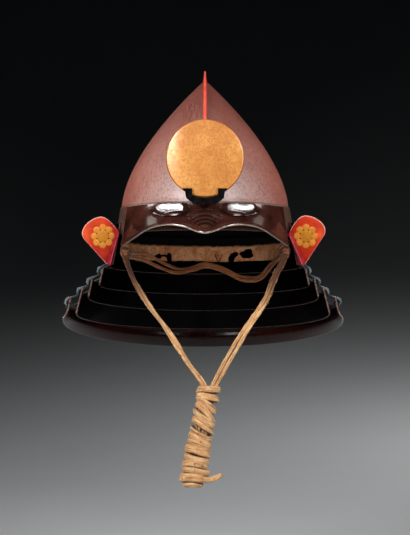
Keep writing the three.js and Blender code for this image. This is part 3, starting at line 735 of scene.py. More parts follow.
def chin_cord_left():
    """The left run, the wraps of the bundle and the free end."""
    turns = wound()
    run = len(through(CORD_LEFT))
    line = evenly(smoothed(through(CORD_LEFT + DIVE + [place for place, _, _ in turns] + TAIL), 2))
    count = len(line)
    first = run + len(through(DIVE))
    last = count - len(through(TAIL)) - 2
    facing = turned(line, 1.0, 21)
    widths, thicks = [], [LEFT_TAPE.thick] * count
    for k in range(count):
        along = k * STEP
        narrow = LEFT_TAPE.width - LEFT_TAPE.loss * ease(along / LEFT_TAPE.loss_over)
        widths.append(narrow + LEFT_TAPE.swell * hump((along - LEFT_TAPE.swell_at) / LEFT_TAPE.swell_over))
    for k in range(first, last):
        _, widths[k], lean = min(turns, key=lambda turn: (turn[0] - line[k]).length_squared)
        out = line[k] - axis_point(line[k].z)
        facing[k] = vec(out.x, out.y / AXIS.flat, 0.0).normalized() + vec(0, 0, lean)
        thicks[k] = WRAP.thick
    for k in range(last, count):
        facing[k], widths[k], thicks[k] = vec(0.1, -1, 0.35), LEFT_TAPE.end_width, LEFT_TAPE.end_thick
    facing = smoothed(facing, 6)
    form = Form()
    depth = [1.0 if k < first else WRAP.folds for k in range(count)]
    section = crumpled(smoothed(widths, 6), smoothed(thicks, 6), 1.0, shaded_and_soiled(count, run), depth=depth)
    tape(form, line, facing, section, LEFT_TAPE.sides)
    frays(form, line[4:run - 8], facing[4:run - 8], 7.0, 26, 1)
    frays(form, line[first:last], facing[first:last], 7.2, 40, 2)
    piece = form.build("cord_left", [CLOTH], ["chin_cord_left", "chin_cord_bundle", "chin_cord_tail"])
    declare(line)


def spread(run, along):
    """Half the distance between the two strands of a run."""
    return run.apart + run.part * hump((along - run.part_at) / run.part_over)


def strand(form, line, facing, thicks, seed, dirt, apart):
    """One of a cord's two strands. apart(along) says where it lies beside the cord's middle."""
    offset = [apart(k * STEP) for k in range(len(line))]
    tape(form, line, facing, crumpled(STRAND.width, thicks, seed, dirt, offset), STRAND.sides)


def chin_cord_right():
    """Two strands side by side, folded together inside the bundle."""
    run = len(through(CORD_RIGHT))
    line = evenly(smoothed(through(CORD_RIGHT + [axis_point(z) + vec(x, y, 0) for x, y, z in CORE]), 2))
    facing = turned(line, 0.4, 24, 0.8)
    count = len(line)
    thicks = [RIGHT_RUN.thick if k < run else RIGHT_RUN.core_thick for k in range(count)]
    form = Form()
    for hand, seed in ((-1, 11.0), (1, 17.0)):
        def apart(along):
            aside = spread(RIGHT_RUN, along) + 0.4 * ripple((along, 0, 3), 18, 4)
            cross = TAU * along / RIGHT_RUN.cross
            return hand * aside * (0.8 + 0.2 * cos(cross)), hand * 0.8 * sin(cross)

        strand(form, line, facing, thicks, seed, shaded_and_soiled(count, run), apart)
    frays(form, line[4:run - 4], facing[4:run - 4], 9.0, 46, 3)
    piece = form.build("cord_right", [CLOTH], ["chin_cord_right"])
    declare(line)


def chin_cord_back():
    """Two flat strands that hang behind the head, twist on their way and part on the left."""
    line = through(CORD_BACK)
    facing = [vec(-p.x, -p.y - 30, 50 * sin(k * STEP / 24)).normalized() for k, p in enumerate(line)]
    form = Form()
    for hand, seed, dirt in ((-1, 4.0, 0.8), (1, 9.0, 1.0)):
        def apart(along):
            aside = spread(BACK_RUN, along) + 0.5 * ripple((along, 0, seed), 16, 5)
            return hand * aside, hand * 0.9 * sin(TAU * along / BACK_RUN.cross)

        strand(form, line, facing, BACK_RUN.thick, seed, dirt, apart)
    frays(form, line[60:-60], facing[60:-60], 6.8, 30, 4)
    piece = form.build("cord_back", [STAINED_AND_SHADED], ["chin_cord_back"])
    declare(line)


chin_cord_left()
chin_cord_right()
chin_cord_back()


# Cord loops at the temples: a ring of cord on a cloth tab, as in the solids, with the chin cord tied round it
# dirt and the ring's 0.6 darken the anchors' cord all over: painted shade of the dark hole they sit in, with dirt.
ANCHOR = Sizes(x=97.0, y=-50.0, z=-55.5, ring=6.0, wire=1.5, dirt=1.6)
TAB = ((97.3, -49.5, -48.2), (98.6, -49, -44), (100.3, -48.6, -36), (101.2, -48.6, -29))
TAB_TAPE = Sizes(width=7.0, thick=2.0, seed=8.0)
TIE = Sizes(y=-57.4, z=-53.6, reach=4.2, turns=2.6, drop=9.0, width=3.4, thick=2.2, seed=21.0)


def cord_anchor(side, name):
    form = Form()
    centre = vec(side * ANCHOR.x, ANCHOR.y, ANCHOR.z)

    def ring(angle, turn):
        out = vec(cos(angle), 0, sin(angle))
        wire = ANCHOR.wire * (1 + 0.35 * ripple((out.x * 6, out.z * 6, side * 9), 3.5, 2))
        bulge = ANCHOR.ring * (1 + 0.1 * ripple((out.x * 5, out.z * 5, side * 4), 4, 8))
        place = centre + out * (bulge + wire * cos(turn)) + vec(0, wire * sin(turn), 0)
        return place, (turn * wire, angle * ANCHOR.ring), 0.6

    form.turns(around(48), 12, ring, closed=True)
    line = through([(side * x, y, z) for x, y, z in TAB])
    facing = [vec(-side, -0.25, 0).normalized()] * len(line)
    tape(form, line, facing, crumpled(TAB_TAPE.width, TAB_TAPE.thick, TAB_TAPE.seed + side, ANCHOR.dirt))
    tie = []
    for share in shares(60):
        turn = TAU * TIE.turns * share
        reach = TIE.reach + 0.5 * sin(turn * 0.7)
        tie.append(vec(side * (ANCHOR.x + reach * cos(turn)), TIE.y + reach * 0.8 * sin(turn),
                       TIE.z - TIE.drop * share + 1.4 * cos(turn + side)))
    tie = evenly(tie)
    facing = [vec(p.x - side * ANCHOR.x, p.y - TIE.y, 0.0).normalized() for p in tie]
    tape(form, tie, facing, crumpled(TIE.width, TIE.thick, TIE.seed + side, ANCHOR.dirt))
    form.build(name, [STAINED_AND_SHADED], ["cord_" + name])


cord_anchor(-1, "anchor_left")
cord_anchor(1, "anchor_right")


# Bowl
FIT = 0.5
BOWL = Sizes(
    half=104.0, front=117.0, back=123.0, tip_z=163.5, tip_y=12.0, side_power=1.65, front_power=2.2, back_power=2.0,
    sharp=0.75, plate=2.2, skirt=6.0, seam=0.3,
)


def sharpness(share):
    return 1 + BOWL.sharp * sqrt(max(share, 0.0))


def bowl_point(share, angle, grow=0.0):
    """share runs from the rim to the point, angle from the front to the back."""
    level = max(share, 0.0)
    width = (BOWL.half + grow) * (1 - level ** BOWL.side_power)
    if cos(angle) > 0:
        median = BOWL.tip_y - (BOWL.front + BOWL.tip_y + grow) * (1 - level ** BOWL.front_power)
    else:
        median = BOWL.tip_y + (BOWL.back - BOWL.tip_y + grow) * (1 - level ** BOWL.back_power)
    x = width * max(sin(angle), 0.0) ** sharpness(level)
    return vec(x, mix(BOWL.tip_y * level, median, abs(cos(angle))), (BOWL.tip_z + grow) * share)


def bowl_half(side, name):
    form = Form()
    low = -BOWL.skirt / BOWL.tip_z
    us = shares(96)[::-side]

    def surface(u, v):
        p = bowl_point(min(v, 0.9995), pi * u)
        hammered = 0.16 * ripple(p, 17, 1) + 0.07 * ripple(p, 7, 4)
        fade = sin(pi * u) * (1 - max(v, 0.0) ** 6)
        p += vec(p.x, p.y - BOWL.tip_y, 30).normalized() * hammered * fade
        return vec(side * (max(p.x, 0.0) + BOWL.seam / 2), p.y, p.z)

    shell(form, us, [low, low * 0.5] + shares(80), surface, BOWL.plate, reach=1.2, inside=1)
    form.build("bowl_plate_" + name, [RUSSET, INSIDE], ["bowl_" + name])


bowl_half(-1, "left")
bowl_half(1, "right")

RIDGE = Sizes(foot=2.5, crest=1.95, tip=1.25, height=5.5, tip_height=10.5, start=0.04, end=0.985, clear=0.35, lift=0.9)
# The fin's side up to its crest: drop below the crest and half width, as shares, and wear
FIN = ((0.55, 1.02, 0.0), (0.18, 1.0, 0.1), (0.06, 0.86, 0.4), (0.0, 0.5, 0.4))


def ridge():
    form = Form()
    rings = []

    def add(seat, foot, out, height, half):
        crest = seat + out * height
        places = [(foot, foot.x, 0.0)]
        places += [(crest - out * height * drop, half * wide, rub) for drop, wide, rub in FIN]
        ring = [form.point(vec(-x, p.y, p.z), (0, p.z), rub) for p, x, rub in places]
        ring += [form.point(vec(x, p.y, p.z), (0, p.z), rub) for p, x, rub in reversed(places)]
        rings.append(ring + [form.point(seat.copy(), (0, seat.z))])

    def station(share, way):
        """way is -1 in front of the point and 1 behind it."""
        blend = share ** 8
        clear = RIDGE.clear + RIDGE.lift * blend
        median = pi if way > 0 else 0.0
        seat = bowl_point(share, median, clear)
        run = (bowl_point(share - 0.01, median, clear) - seat).normalized()
        out = vec(0, way * abs(run.z), abs(run.y)).lerp(vec(0, 0, 1), blend).normalized()
        width = bowl_point(share, pi / 2, clear).x
        lean = asin(min(RIDGE.foot / max(width, RIDGE.foot), 1) ** (1 / sharpness(share)))
        foot = bowl_point(share, abs(median - lean), clear)
        add(seat, foot, out, mix(RIDGE.height, RIDGE.tip_height, blend), mix(RIDGE.crest, RIDGE.tip, blend))

    levels = [mix(RIDGE.start, RIDGE.end, t) for t in shares(44)]
    for share in levels:
        station(share, -1)
    clear = RIDGE.clear + RIDGE.lift
    foot_share = (1 - RIDGE.foot / (BOWL.half + clear)) ** (1 / BOWL.side_power)
    foot = bowl_point(foot_share, pi / 2, clear)
    add(bowl_point(1.0, 0.0, clear), foot, vec(0, 0, 1), RIDGE.tip_height, RIDGE.tip)
    for share in reversed(levels):
        station(share, 1)
    form.rings(rings)
    form.build("ridge_fin", [RED], ["ridge"])


ridge()


# Waist band
BAND = Sizes(wall=1.5, height=35.0, flare=5.0)
BAND_TOP = Sizes(**{way: getattr(BOWL, way) + FIT + BAND.wall for way in ("half", "front", "back")})


def band_point(level, angle, grow=0.0):
    spread = BAND.flare * level + grow
    depth = BAND_TOP.front if cos(angle) > 0 else BAND_TOP.back
    return vec((BAND_TOP.half + spread) * sin(angle), -(depth + spread) * cos(angle), -BAND.height * level)


def waist_band():
    form = Form()
    vs = stations(14, BAND.height, BAND.wall)
    shell(form, shares(180)[:-1], vs, lambda u, v: band_point(v, TAU * u), BAND.wall, ring=True, inside=1)
    form.build("band", [BAND_PAINT, INSIDE], ["waist_band"])


waist_band()


# Visor
VISOR = Sizes(wall=1.8, top=-1.5, root=0.95, flare=2.1, length=260, height=42)
VISOR_EDGE = [
    (0, -149, -40.5), (11, -148.5, -38), (22.5, -146, -33.2), (39.5, -139.5, -30), (54, -130, -30.7),
    (67, -117, -34), (84.5, -89, -43), (100.4, -62, -51.5),
]
NOSE_Z = VISOR_EDGE[0][2]
visor_edge = [vec(-x, y, z) for x, y, z in reversed(VISOR_EDGE[1:])] + [Vector(p) for p in VISOR_EDGE]
# A boss by its place across and the share of the way down; z and high are the same place and half height in the
# painted shade
BOSS = Sizes(
    x=40.5, half=20.0, down=0.21, reach=0.36, lift=4.0, upright=0.02, turn=2.2, flat=1.2, crown=1.1, rim=0.76,
    slope=0.3, crease=1.12, crease_deep=1.5, z=-7.5, high=10.3,
)
LIP = Sizes(down=0.94, lift=2.0, width=0.04)
# The folds over the nose: how far apart, how deep, where one has its crest, how far they reach round to the sides, the
# height of the visor there, and the distances from the nose over which they come and go
FOLDS = Sizes(period=4.8, deep=0.5, crest=10.0, sector=0.7, high=39.0, come=6, come_over=4, go=27, go_over=8)


def visor_relief(x, down, drop, overhang):
    """Height of the embossing: two brow bosses, the crease below each, the lip's crest and folds over the nose."""
    aside = (abs(x) - BOSS.x) / BOSS.half
    below = (down - BOSS.down) / BOSS.reach
    radius = hypot(aside, below)
    face = BOSS.lift + BOSS.turn * aside + BOSS.flat * aside * aside
    face += BOSS.upright * drop * down - overhang * down ** VISOR.flare - BOSS.crown * below ** 2
    boss = max(face, 0.6) * (1 - ease((radius - BOSS.rim) / BOSS.slope)) * ease((down + 0.02) / 0.07)
    crease = -BOSS.crease_deep * hump((radius - BOSS.crease) / BOSS.slope) * ease((down - 0.34) / 0.2)
    crest = LIP.lift * exp(-((down - LIP.down) / LIP.width) ** 2)
    rise = (1 - down) * FOLDS.high
    ring = hypot(x, rise)
    window = ease((ring - FOLDS.come) / FOLDS.come_over) * (1 - ease((ring - FOLDS.go) / FOLDS.go_over))
    window *= ease((rise - FOLDS.sector * abs(x)) / 6)
    folds = FOLDS.deep * cos(TAU * (ring - FOLDS.crest) / FOLDS.period) * window
    tip = 1.7 * hump(ring / 8)
    waves = 0.13 * ripple((x, down * 40, 0), 9, 2.0) + 0.05 * ripple((x, down * 40, 9), 3.5, 5.0)
    return boss + crease + crest + folds + tip + waves


def visor_painted_shade(paint):
    """Painted shade: dark lines in the folds over the nose and in the crease under each boss."""
    x, z = paint.spot()
    rise = z - NOSE_Z * MM
    ring = x.length(rise)
    swing = ((ring - FOLDS.crest * MM) * (TAU / FOLDS.period / MM)).math("COSINE")
    sector = paint.ramp((rise - abs(x) * FOLDS.sector) * 100, (0, 0), (0.6, 1))
    window = paint.ramp(ring * 20, (0.16, 0), (0.24, 1), (0.5, 1), (0.64, 0)) * sector
    folds = window * paint.ramp(swing, (0, 0.9), (0.4, 0))
    aside = (abs(x) - BOSS.x * MM) / (BOSS.half * MM)
    below = (z - BOSS.z * MM) / (BOSS.high * MM)
    arc = paint.ramp(aside.length(below) * 0.5, (0.47, 0), (0.53, 1), (0.58, 1), (0.68, 0))
    return folds.math("MAXIMUM", arc * paint.ramp(below * -0.5, (0, 0), (0.25, 1)))


def visor_point(across, down):
    edge = spline(visor_edge, across)
    clear = FIT + VISOR.wall
    angle = asin(clamp(VISOR.root * edge.x / (BAND_TOP.half + clear), -1, 1))

    def on_band(z):
        p = band_point(min(-z / BAND.height, 1), angle, clear)
        return vec(p.x, p.y, z)

    overhang = edge - on_band(edge.z)
    point = on_band(mix(VISOR.top, edge.z, down)) + overhang * down ** VISOR.flare
    relief = visor_relief(point.x, down, VISOR.top - edge.z, overhang.length)
    return point + vec(sin(angle), -cos(angle), 0.0) * relief


def visor():
    form = Form()
    us = stations(250, VISOR.length, VISOR.wall)
    vs = sorted(stations(60, VISOR.height, VISOR.wall) + [0.9 + 0.004 * k for k in range(1, 20)])
    shell(form, us, vs, visor_point, VISOR.wall, reach=1.5)
    paint = lacquer("visor_lacquer", (34, 14, 10), (66, 33, 24), (190, 164, 150), (0.12, 0.2), 0.5, dirt=visor_painted_shade)
    form.build("visor_plate", [paint], ["visor"])


visor()


# Crest: the disc and its fork
DISC = Sizes(radius=45.7, y=-138.0, z=47.9, thick=3.6, dome=1.5, edge=1.5, bent=1.3, flat=1.65)


def crest_disc():
    form = Form()
    half = DISC.thick / 2
    rim = DISC.radius - DISC.edge
    profile = [(rim * t, -half - DISC.dome * (1 - t ** 2), 0.0) for t in shares(26)[1:]]
    profile += [(rim + DISC.edge * sin(pi * t), -half * cos(pi * t), 1.0) for t in shares(8)[1:]]
    profile += [(rim * t, half, 0.0) for t in shares(8)[-2:0:-1]]

    def turned_point(row, angle):
        radius, y, rub = row
        place = vec(radius * cos(angle), DISC.y + y, DISC.z + radius * sin(angle))
        place.y += 0.12 * ripple(place, 14, 6) * (1 - rub) + DISC.bent * max(0.0, -place.x / 14 - DISC.flat) ** 2
        return place, (place.x, place.z), rub

    form.turns(profile, 160, turned_point)
    form.build("sun_disc", [GILT], ["crest_disc"], body="crest")


crest_disc()

HOLDER = Sizes(
    arm_out=23.4, arm_in=15.0, hook=25.7, arm_top=12.3, hook_z=9.6, drop=1.0, shoulder=(22.0, 1.0),
    corner=(14.0, -5.5), bottom=-7.0, thick=3.0, clear=0.8, tongue=12.0, tongue_top=14.0, stem=9.0, stem_top=0.0,
    stem_back=-125.6,
)


def plate_between(form, outline, front, back, bevel=0.5):
    """A plate with chamfered edges whose outline is seen from the front."""
    rings = []
    for y, inset in ((front, bevel), (front + bevel, 0.0), (back - bevel, 0.0), (back, bevel)):
        ring = []
        for before, here, after in zip(outline[-1:] + outline, outline, outline[1:] + outline):
            way = (after - before).normalized()
            ring.append(form.point(vec(here.x - way.y * inset, y, here.y + way.x * inset)))
        rings.append(ring)
    form.rings(rings)


def crest_holder():
    form = Form()
    h = HOLDER
    seat = DISC.z - DISC.radius - FIT
    inner = DISC.z - sqrt(DISC.radius ** 2 - h.arm_in ** 2) - FIT
    half = [h.corner, h.shoulder, (h.arm_out, h.hook_z - h.drop), (h.hook, h.hook_z), (h.hook, h.arm_top),
            (h.arm_in, h.arm_top), (h.arm_in, inner)]
    left, right = ([Vector((side * x, z)) for x, z in half] for side in (-1, 1))
    outline = left[:1] + bezier([left[0], Vector((0, 2 * h.bottom - h.corner[1])), right[0]], 10) + right[1:]
    outline += bezier([right[-1], Vector((0, 2 * seat - inner)), left[-1]], 14) + left[-2:0:-1]
    front = DISC.y - DISC.thick / 2 - h.clear
    back = DISC.y + DISC.thick / 2 + FIT
    plate_between(form, outline, front - h.thick, front)
    for x, y0, y1, z0, z1 in (
        (h.tongue, front - 1.5, back + 1.5, h.bottom + 1, seat - 0.5),
        (h.tongue, back, back + h.thick, h.bottom + 1, h.tongue_top),
        (h.stem, back + 1.5, h.stem_back, h.bottom + 1.5, h.stem_top),
    ):
        plate_between(form, [Vector(corner) for corner in ((-x, z0), (x, z0), (x, z1), (-x, z1))], y0, y1)
    form.build("fork", [IRON], ["crest_holder"], sharp=30)


crest_holder()


# Neck guard
LAME_WALL = 2.4
LIP_ROLL = Sizes(deep=2.3, start=0.45)
LAME_KEYS = ("top_half", "low_half", "top_back", "low_back", "front", "end_y", "end_top", "end_low", "back_top",
             "back_low", "lip", "shift")
LAMES = [Sizes(**dict(zip(LAME_KEYS, row))) for row in (
    (111.8, 121.5, 131, 139.5, 125, -44, -20, -72, -20, -77, 0, 0),
    (126.5, 131.5, 143, 148.5, 240, -38, -75, -96, -70, -103.5, 0, -1),
    (139, 144, 153.5, 160, 240, -38, -88, -111, -95.5, -125.5, 0, -2),
    (150.5, 158.5, 165, 172, 240, -38, -100, -131, -117.5, -150, 0, -2.5),
    (165.5, 171, 177, 182, 240, -38, -111, -137.5, -142, -172.5, 4, -2.5),
)]


def lame_point(lame, angle, down, grow=0.0):
    """angle runs from behind the head to either temple, down from the top edge to the lower one."""
    lip = lame.lip * max(0.0, (down - 0.5) / 0.5) ** 2
    half = mix(lame.top_half, lame.low_half, down) + lip + grow
    back = mix(lame.top_back, lame.low_back, down) + lip + grow
    y = (back if cos(angle) > 0 else lame.front + grow) * cos(angle)
    behind = (y - lame.end_y) / (lame.low_back - lame.end_y)
    top = mix(lame.end_top, lame.back_top, behind)
    low = mix(lame.end_low, lame.back_low, behind)
    return vec(half * sin(angle) + lame.shift, y, mix(top, low, down))


def lame_end(lame):
    return acos(lame.end_y / lame.front)


def neck_lame(k):
    lame = LAMES[k]
    form = Form()
    end = lame_end(lame)
    us = stations(120, 480, LAME_WALL)
    vs = stations(22, 34 if k else 54, LAME_WALL)

    def surface(u, v):
        p = lame_point(lame, mix(end, -end, u), v)
        roll = 0.0
        if lame.lip:
            along = clamp((v - LIP_ROLL.start) / (1 - LIP_ROLL.start))
            roll = LIP_ROLL.deep * sin(pi * along) * ease(5 * min(u, 1 - u))
        return p + vec(p.x, p.y, 0).normalized() * (0.12 * ripple(p, 22, k) - roll)

    shell(form, us, vs, surface, LAME_WALL, reach=1.1)
    form.build(f"lame_{k + 1}", [LIP_PAINT if lame.lip else LAME_PAINT], [f"neck_lame_{k + 1}"])


for k in range(len(LAMES)):
    neck_lame(k)

LACE = Sizes(
    start=0.62, end=0.42, lead=3.0, over=0.8, least=0.1, knot=0.3, knot_over=0.4, knot_high=1.9, clear=1.3, swing=2.4,
    half=3.7, thick=1.5,
)
LACE_SHARES = (-0.96, -0.8, -0.6, -0.4, -0.2, 0.0, 0.2, 0.4, 0.6, 0.8, 0.96)


def station_angle(lame, share):
    widest = LAMES[-1]
    angle = abs(share) * lame_end(widest)
    if angle > pi / 2:
        angle = acos(widest.front * cos(angle) / lame.front)
    return copysign(angle, share)


def lacing(number, share):
    """Two flat braids that run down the outside of each lame, cross on it and go over the next one's top edge."""
    form = Form()
    for hand in (-1, 1):
        line, facing, lumps = [], [], []
        for k, lame in enumerate(LAMES):
            angle = station_angle(lame, share)
            top, low = (lame_point(lame, angle, v).z for v in (0, 1))
            leave = LACE.end
            if k + 1 < len(LAMES):
                below = LAMES[k + 1]
                leave = (lame_point(below, station_angle(below, share), 0).z + LACE.lead - top) / (low - top)
            enter = min(-LACE.over / (top - low) if k else LACE.start, leave - LACE.least)
            for n, t in enumerate(shares(8)):
                lump = hump((t - LACE.knot) / LACE.knot_over)
                lift = FIT + LACE.clear + LACE.knot_high * lump * (1.6 if hand > 0 else 1)
                lift += 0.5 * ripple((n * 2.0, k * 9.0, number * 5 + hand), 3, 6)
                turn = angle + cos(pi * t) * (-1) ** k * hand * LACE.swing / lame.top_half
                lumps.append(lump)
                line.append(lame_point(lame, turn, mix(enter, leave, t), lift))
                facing.append(vec(sin(angle), cos(angle), 0.25))

        def section(k, turn):
            x, y = cos(turn), sin(turn)
            bulk = 0.66 + 0.55 * lumps[k] + 0.25 * ripple((k * 2.4, number * 7, hand), 5, 3)
            up = copysign(abs(y) ** 0.7, y) * LACE.thick * bulk
            # The third value is painted shade, darker away from the knots.
            return x * LACE.half * bulk, up, 0.75 * (1 - lumps[k])

        tape(form, smoothed(line, 2), smoothed(facing, 4), section, sides=12)
    form.build(f"braid_{number}", [BRAID], [f"lacing_{number}"])


for number, share in enumerate(LACE_SHARES, 1):
    lacing(number, share)


# Turnbacks
TURNBACK = Sizes(
    wall=2.2, y=-62.0, yaw=0.22, pivot=100.0, tip_z=-74.5, grip=10.0, lap_end=-45.5, fold=5.0, bend=3.0, bend_over=7.0,
    dish=0.0012, dish_from=22.0,
)
LEAF = {
    "tip": (0, 0), "inner": (-14.5, 38.5), "heel": (5, 2.5), "outer": (30.5, 36), "outer_handle": (38, 48),
    "crown_handle": (21, 61), "crown": (7.5, 61), "inner_handle": (-2, 60),
}
ROSETTE = Sizes(z=-38.5, heart=8.4, heart_high=0.62, petal=4.6, petal_high=0.5, reach=10.5, dot=0.75, dot_high=0.35,
                dots=8.0, ink=0.55, sunk=0.05)


def turnback(name, side, tip_x, lean, rosette_x):
    tilt = radians(lean)
    wall = TURNBACK.wall
    lame = LAMES[0]

    def at(x, z):
        return vec(tip_x + x * cos(tilt) - z * sin(tilt), 0, TURNBACK.tip_z + x * sin(tilt) + z * cos(tilt))

    key = Sizes(**{corner: at(*xz) for corner, xz in LEAF.items()})
    outline = [key.tip]
    for count, *corners in (
        (3, key.tip, key.heel), (16, key.heel, key.outer),
        (24, key.outer, key.outer_handle, key.crown_handle, key.crown), (16, key.crown, key.inner_handle, key.inner),
    ):
        outline += bezier(corners, count)
    outline = evenly(outline, 1.2)
    fold_way = (key.inner - key.tip).normalized()
    fold_out = vec(fold_way.z, 0, -fold_way.x)

    def past_fold(x, z):
        return (vec(x, 0, z) - key.tip).dot(fold_out)

    def leaf_y(x):
        return TURNBACK.y + TURNBACK.yaw * (x - TURNBACK.pivot)

    def face_y(x, z):
        gap = max(past_fold(x, z), 0.0)
        bent = TURNBACK.bend * max(0.0, 1 - gap / TURNBACK.bend_over) ** 2
        return leaf_y(x) - wall + bent + TURNBACK.dish * (gap - TURNBACK.dish_from) ** 2

    def leaf(u, v):
        k = u * (len(outline) - 1)
        low = min(int(k), len(outline) - 2)
        p = key.tip.lerp(key.inner, u).lerp(outline[low].lerp(outline[low + 1], k - low), v)
        return vec(side * p.x, face_y(p.x, p.z), p.z)

    def strip(u, v):
        """From the outside of the top lame round its front end to the fold."""
        p = key.tip.lerp(key.inner, mix(0.96, 0.06, u))
        down = (p.z - lame.end_top) / (lame.end_low - lame.end_top)
        grip, end = (
            lame_point(lame, acos((TURNBACK.lap_end + back) / (lame.front + FIT)), down, FIT + wall)
            for back in (TURNBACK.grip, 0.0)
        )
        front = vec(p.x + 2.4, leaf_y(p.x) - 0.4, p.z)
        place = grip.lerp(end, v * 2) if v < 0.5 else end.lerp(front, v * 2 - 1)
        return vec(side * place.x, place.y, place.z)

    form = Form()
    shell(form, stations(64, 130, wall)[::side], stations(40, 45, wall), leaf, wall, reach=2.0)
    leaf_faces = len(form.faces)
    shell(form, stations(16, 36, wall)[::side], stations(20, 26, wall), strip, wall, reach=1.4)
    # Faces near the fold, and the strip round the lame, take the darker lacquer that paints shade on the bend.
    for n, face in enumerate(form.faces):
        middle = sum((form.points[k] for k in face), Vector()) / len(face)
        form.slots[n] = int(n >= leaf_faces or past_fold(abs(middle.x), middle.z) < TURNBACK.fold)
    form.build(f"leaf_{name}", [LEAF_RED, SHADED_FOLD], [f"turnback_{name}"])
    rosette(name, rosette_x, lambda x, z, lift: vec(side * x, face_y(x, z) - lift + ROSETTE.sunk, z))


def dome(form, place, x, z, radius, height, slot):
    """A low boss with a flat top. place(x, z, lift) gives a point above the face that carries it."""
    def ring(t, turn):
        rise, reach = 1 - (1 - t) ** 3, radius * (1 - t ** 2.2)
        return place(x + reach * cos(turn), z + reach * sin(turn), height * rise), (0.0, 0.0), 1 - rise

    form.turns(shares(6)[:-1], 24, ring, slot=slot)


def rosette(name, x, gold):
    """A gilded flower of eight round petals, with a dot between the roots of each two."""
    form = Form()
    r = ROSETTE

    def ink(x, z, lift):
        return gold(x, z, lift + r.ink)

    dome(form, gold, x, r.z, r.heart, r.heart_high, 2)
    for turn in around(8):
        for middle, way, radius, height, place, slot in (
            (r.reach, turn, r.petal, r.petal_high, gold, 0), (r.dots, turn + TAU / 16, r.dot, r.dot_high, ink, 1),
        ):
            dome(form, place, x + middle * cos(way), r.z + middle * sin(way), radius, height, slot)
    form.build(f"rosette_{name}", [GOLD_MARK, INSIDE, GOLD_HEART])


turnback("left", -1, 114.5, -5, 124.3)
turnback("right", 1, 117.8, 4, 122.8)


# Lining
LINING = Sizes(wall=1.6, top=-29.0, low=-61.0, taper=1.0, end=radians(110), length=420)
# Holes in the lining: middle across and up, width, height and lean
LINING_HOLES = [
    (-62, -55, 10, 7, 0.2), (-47.5, -56.5, 8, 13, 0.1), (-54.5, -54, 8, 3.4, 0.0), (36, -56, 9, 15, -0.5),
    (40, -52, 10, 7, 0.2), (55.5, -51.5, 19, 12, 0.0), (15.5, -57, 1.6, 11, 0.35), (20.5, -57, 1.6, 12, -0.4),
    (17.5, -60, 5, 1.6, 0.0),
]


def torn(p):
    """Whether a point of the lining lies in one of its ragged holes."""
    for x, z, wide, high, lean in LINING_HOLES:
        across, rise = p.x - x, p.z - z
        aside = (across * cos(lean) + rise * sin(lean)) / (wide / 2)
        up = (rise * cos(lean) - across * sin(lean)) / (high / 2)
        turn = atan2(up, aside)
        if hypot(aside, up) < 1 + 0.3 * ripple((cos(turn) * 2, sin(turn) * 2, x), 1.1, 3):
            return p.y >= 0
    return False


def lining():
    form = Form()

    def surface(u, v):
        along = u * LINING.length
        angle = pi + mix(-LINING.end, LINING.end, u)
        sag = 1.6 * ripple((along, 0, 3), 38, 2) * v
        z = mix(LINING.top, LINING.low, v) + sag + 0.5 * ripple((along, 7, 3), 6, 2) * v
        crumple = 0.5 + 0.5 * ripple((along, z, 0), 16, 5)
        inward = BAND.wall + FIT + LINING.taper * v + LINING.wall + 0.9 * crumple * v
        p = band_point(-LINING.top / BAND.height, angle, -inward)
        return vec(p.x, p.y, z)

    us, vs = shares(560), shares(48)

    def keep(i, j):
        return not torn(surface((us[i] + us[i + 1]) / 2, (vs[j] + vs[j + 1]) / 2))

    shell(form, us, vs, surface, LINING.wall, keep=keep, reach=2.5)
    piece = form.build("lining_leather", [LEATHER], ["lining_band"])


lining()


# Studio: the softboxes have grids, so their light stays on the object and the floor falls into the dark behind it
GRID = 74
WHITE = (1.0, 1.0, 1.0)
COOL = (0.84, 0.92, 1.0)
WARM = (1.0, 0.92, 0.85)
MIDDLE = (0, 0, 0)
AIM = (0, -0.05, 0.0)
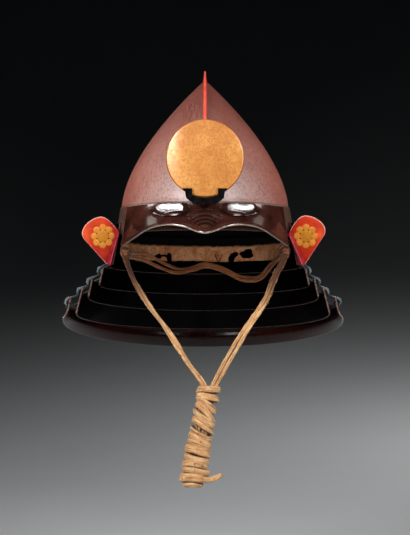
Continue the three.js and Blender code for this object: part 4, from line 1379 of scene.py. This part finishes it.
# Place, target, size, power, spread and colour of each light, and whether it shows in reflections
LIGHTS = {
    "soft_left": ((-1.03, -1.38, 0.61), AIM, (0.66, 0.38), 5.8, GRID, WHITE, True),
    "soft_right": ((1.12, -1.29, 0.61), AIM, (0.62, 0.38), 4.0, GRID, WHITE, True),
    "glow_left": ((-1.03, -1.38, 0.61), AIM, (1.05, 0.70), 1.8, GRID, COOL, True),
    "glow_right": ((1.12, -1.29, 0.61), AIM, (1.0, 0.70), 1.3, GRID, COOL, True),
    "edge_left": ((-1.89, -0.33, 0.60), MIDDLE, (0.30, 0.40), 0.9, GRID, WARM, True),
    "edge_right": ((1.89, -0.33, 0.60), MIDDLE, (0.30, 0.40), 0.6, GRID, WARM, True),
    "over_left": ((-1.16, 0.57, 0.94), MIDDLE, (0.7, 0.45), 0.9, 120, WARM, True),
    "over_right": ((1.16, 0.57, 0.94), MIDDLE, (0.7, 0.45), 0.45, 120, WARM, True),
    "top": ((0.0, -0.3, 1.5), MIDDLE, (0.5, 0.4), 1.0, 120, WHITE, True),
    "low_front": ((0.3, -2.3, 0.0), (0, 0, -0.12), (0.2, 0.4), 8, 180, WHITE, False),
    "floor_light": ((1.15, 1.9, 1.3), (1.15, 1.9, -0.5), (0.6, 0.6), 10.7, 139, WHITE, False),
}
for name, (at, to, size, power, spread, colour, glossy) in LIGHTS.items():
    lamp = bpy.data.lights.new(name, "AREA")
    lamp.shape = "RECTANGLE"
    lamp.size, lamp.size_y = size
    lamp.energy, lamp.spread, lamp.color = power, radians(spread), colour
    light = placed(name, lamp)
    light.visible_glossy = glossy
    looking(light, at, to)

scene.view_settings.view_transform = "Standard"
world = bpy.data.worlds.new("studio")
world.use_nodes = True
world.node_tree.nodes["Background"].inputs["Color"].default_value = (0.0012, 0.0014, 0.0018, 1.0)
scene.world = world

# Floor that rises gently behind the object, as a paper roll does
FLOOR = Sizes(z=-0.5, half=12.0, front=-6.0, rise_from=0.7, back=11.0, bend=0.0338)
corners = []
for y in [FLOOR.front] + [mix(FLOOR.rise_from, FLOOR.back, t) for t in shares(60)]:
    z = FLOOR.z + FLOOR.bend * max(y - FLOOR.rise_from, 0.0) ** 2
    corners += [(-FLOOR.half, y, z), (FLOOR.half, y, z)]
floor_mesh = bpy.data.meshes.new("floor")
floor_mesh.from_pydata(corners, [], [(k, k + 1, k + 3, k + 2) for k in range(0, len(corners) - 2, 2)])
floor_mesh.polygons.foreach_set("use_smooth", [True] * len(floor_mesh.polygons))
floor_mesh.materials.append(pale_floor())
placed("floor", floor_mesh)
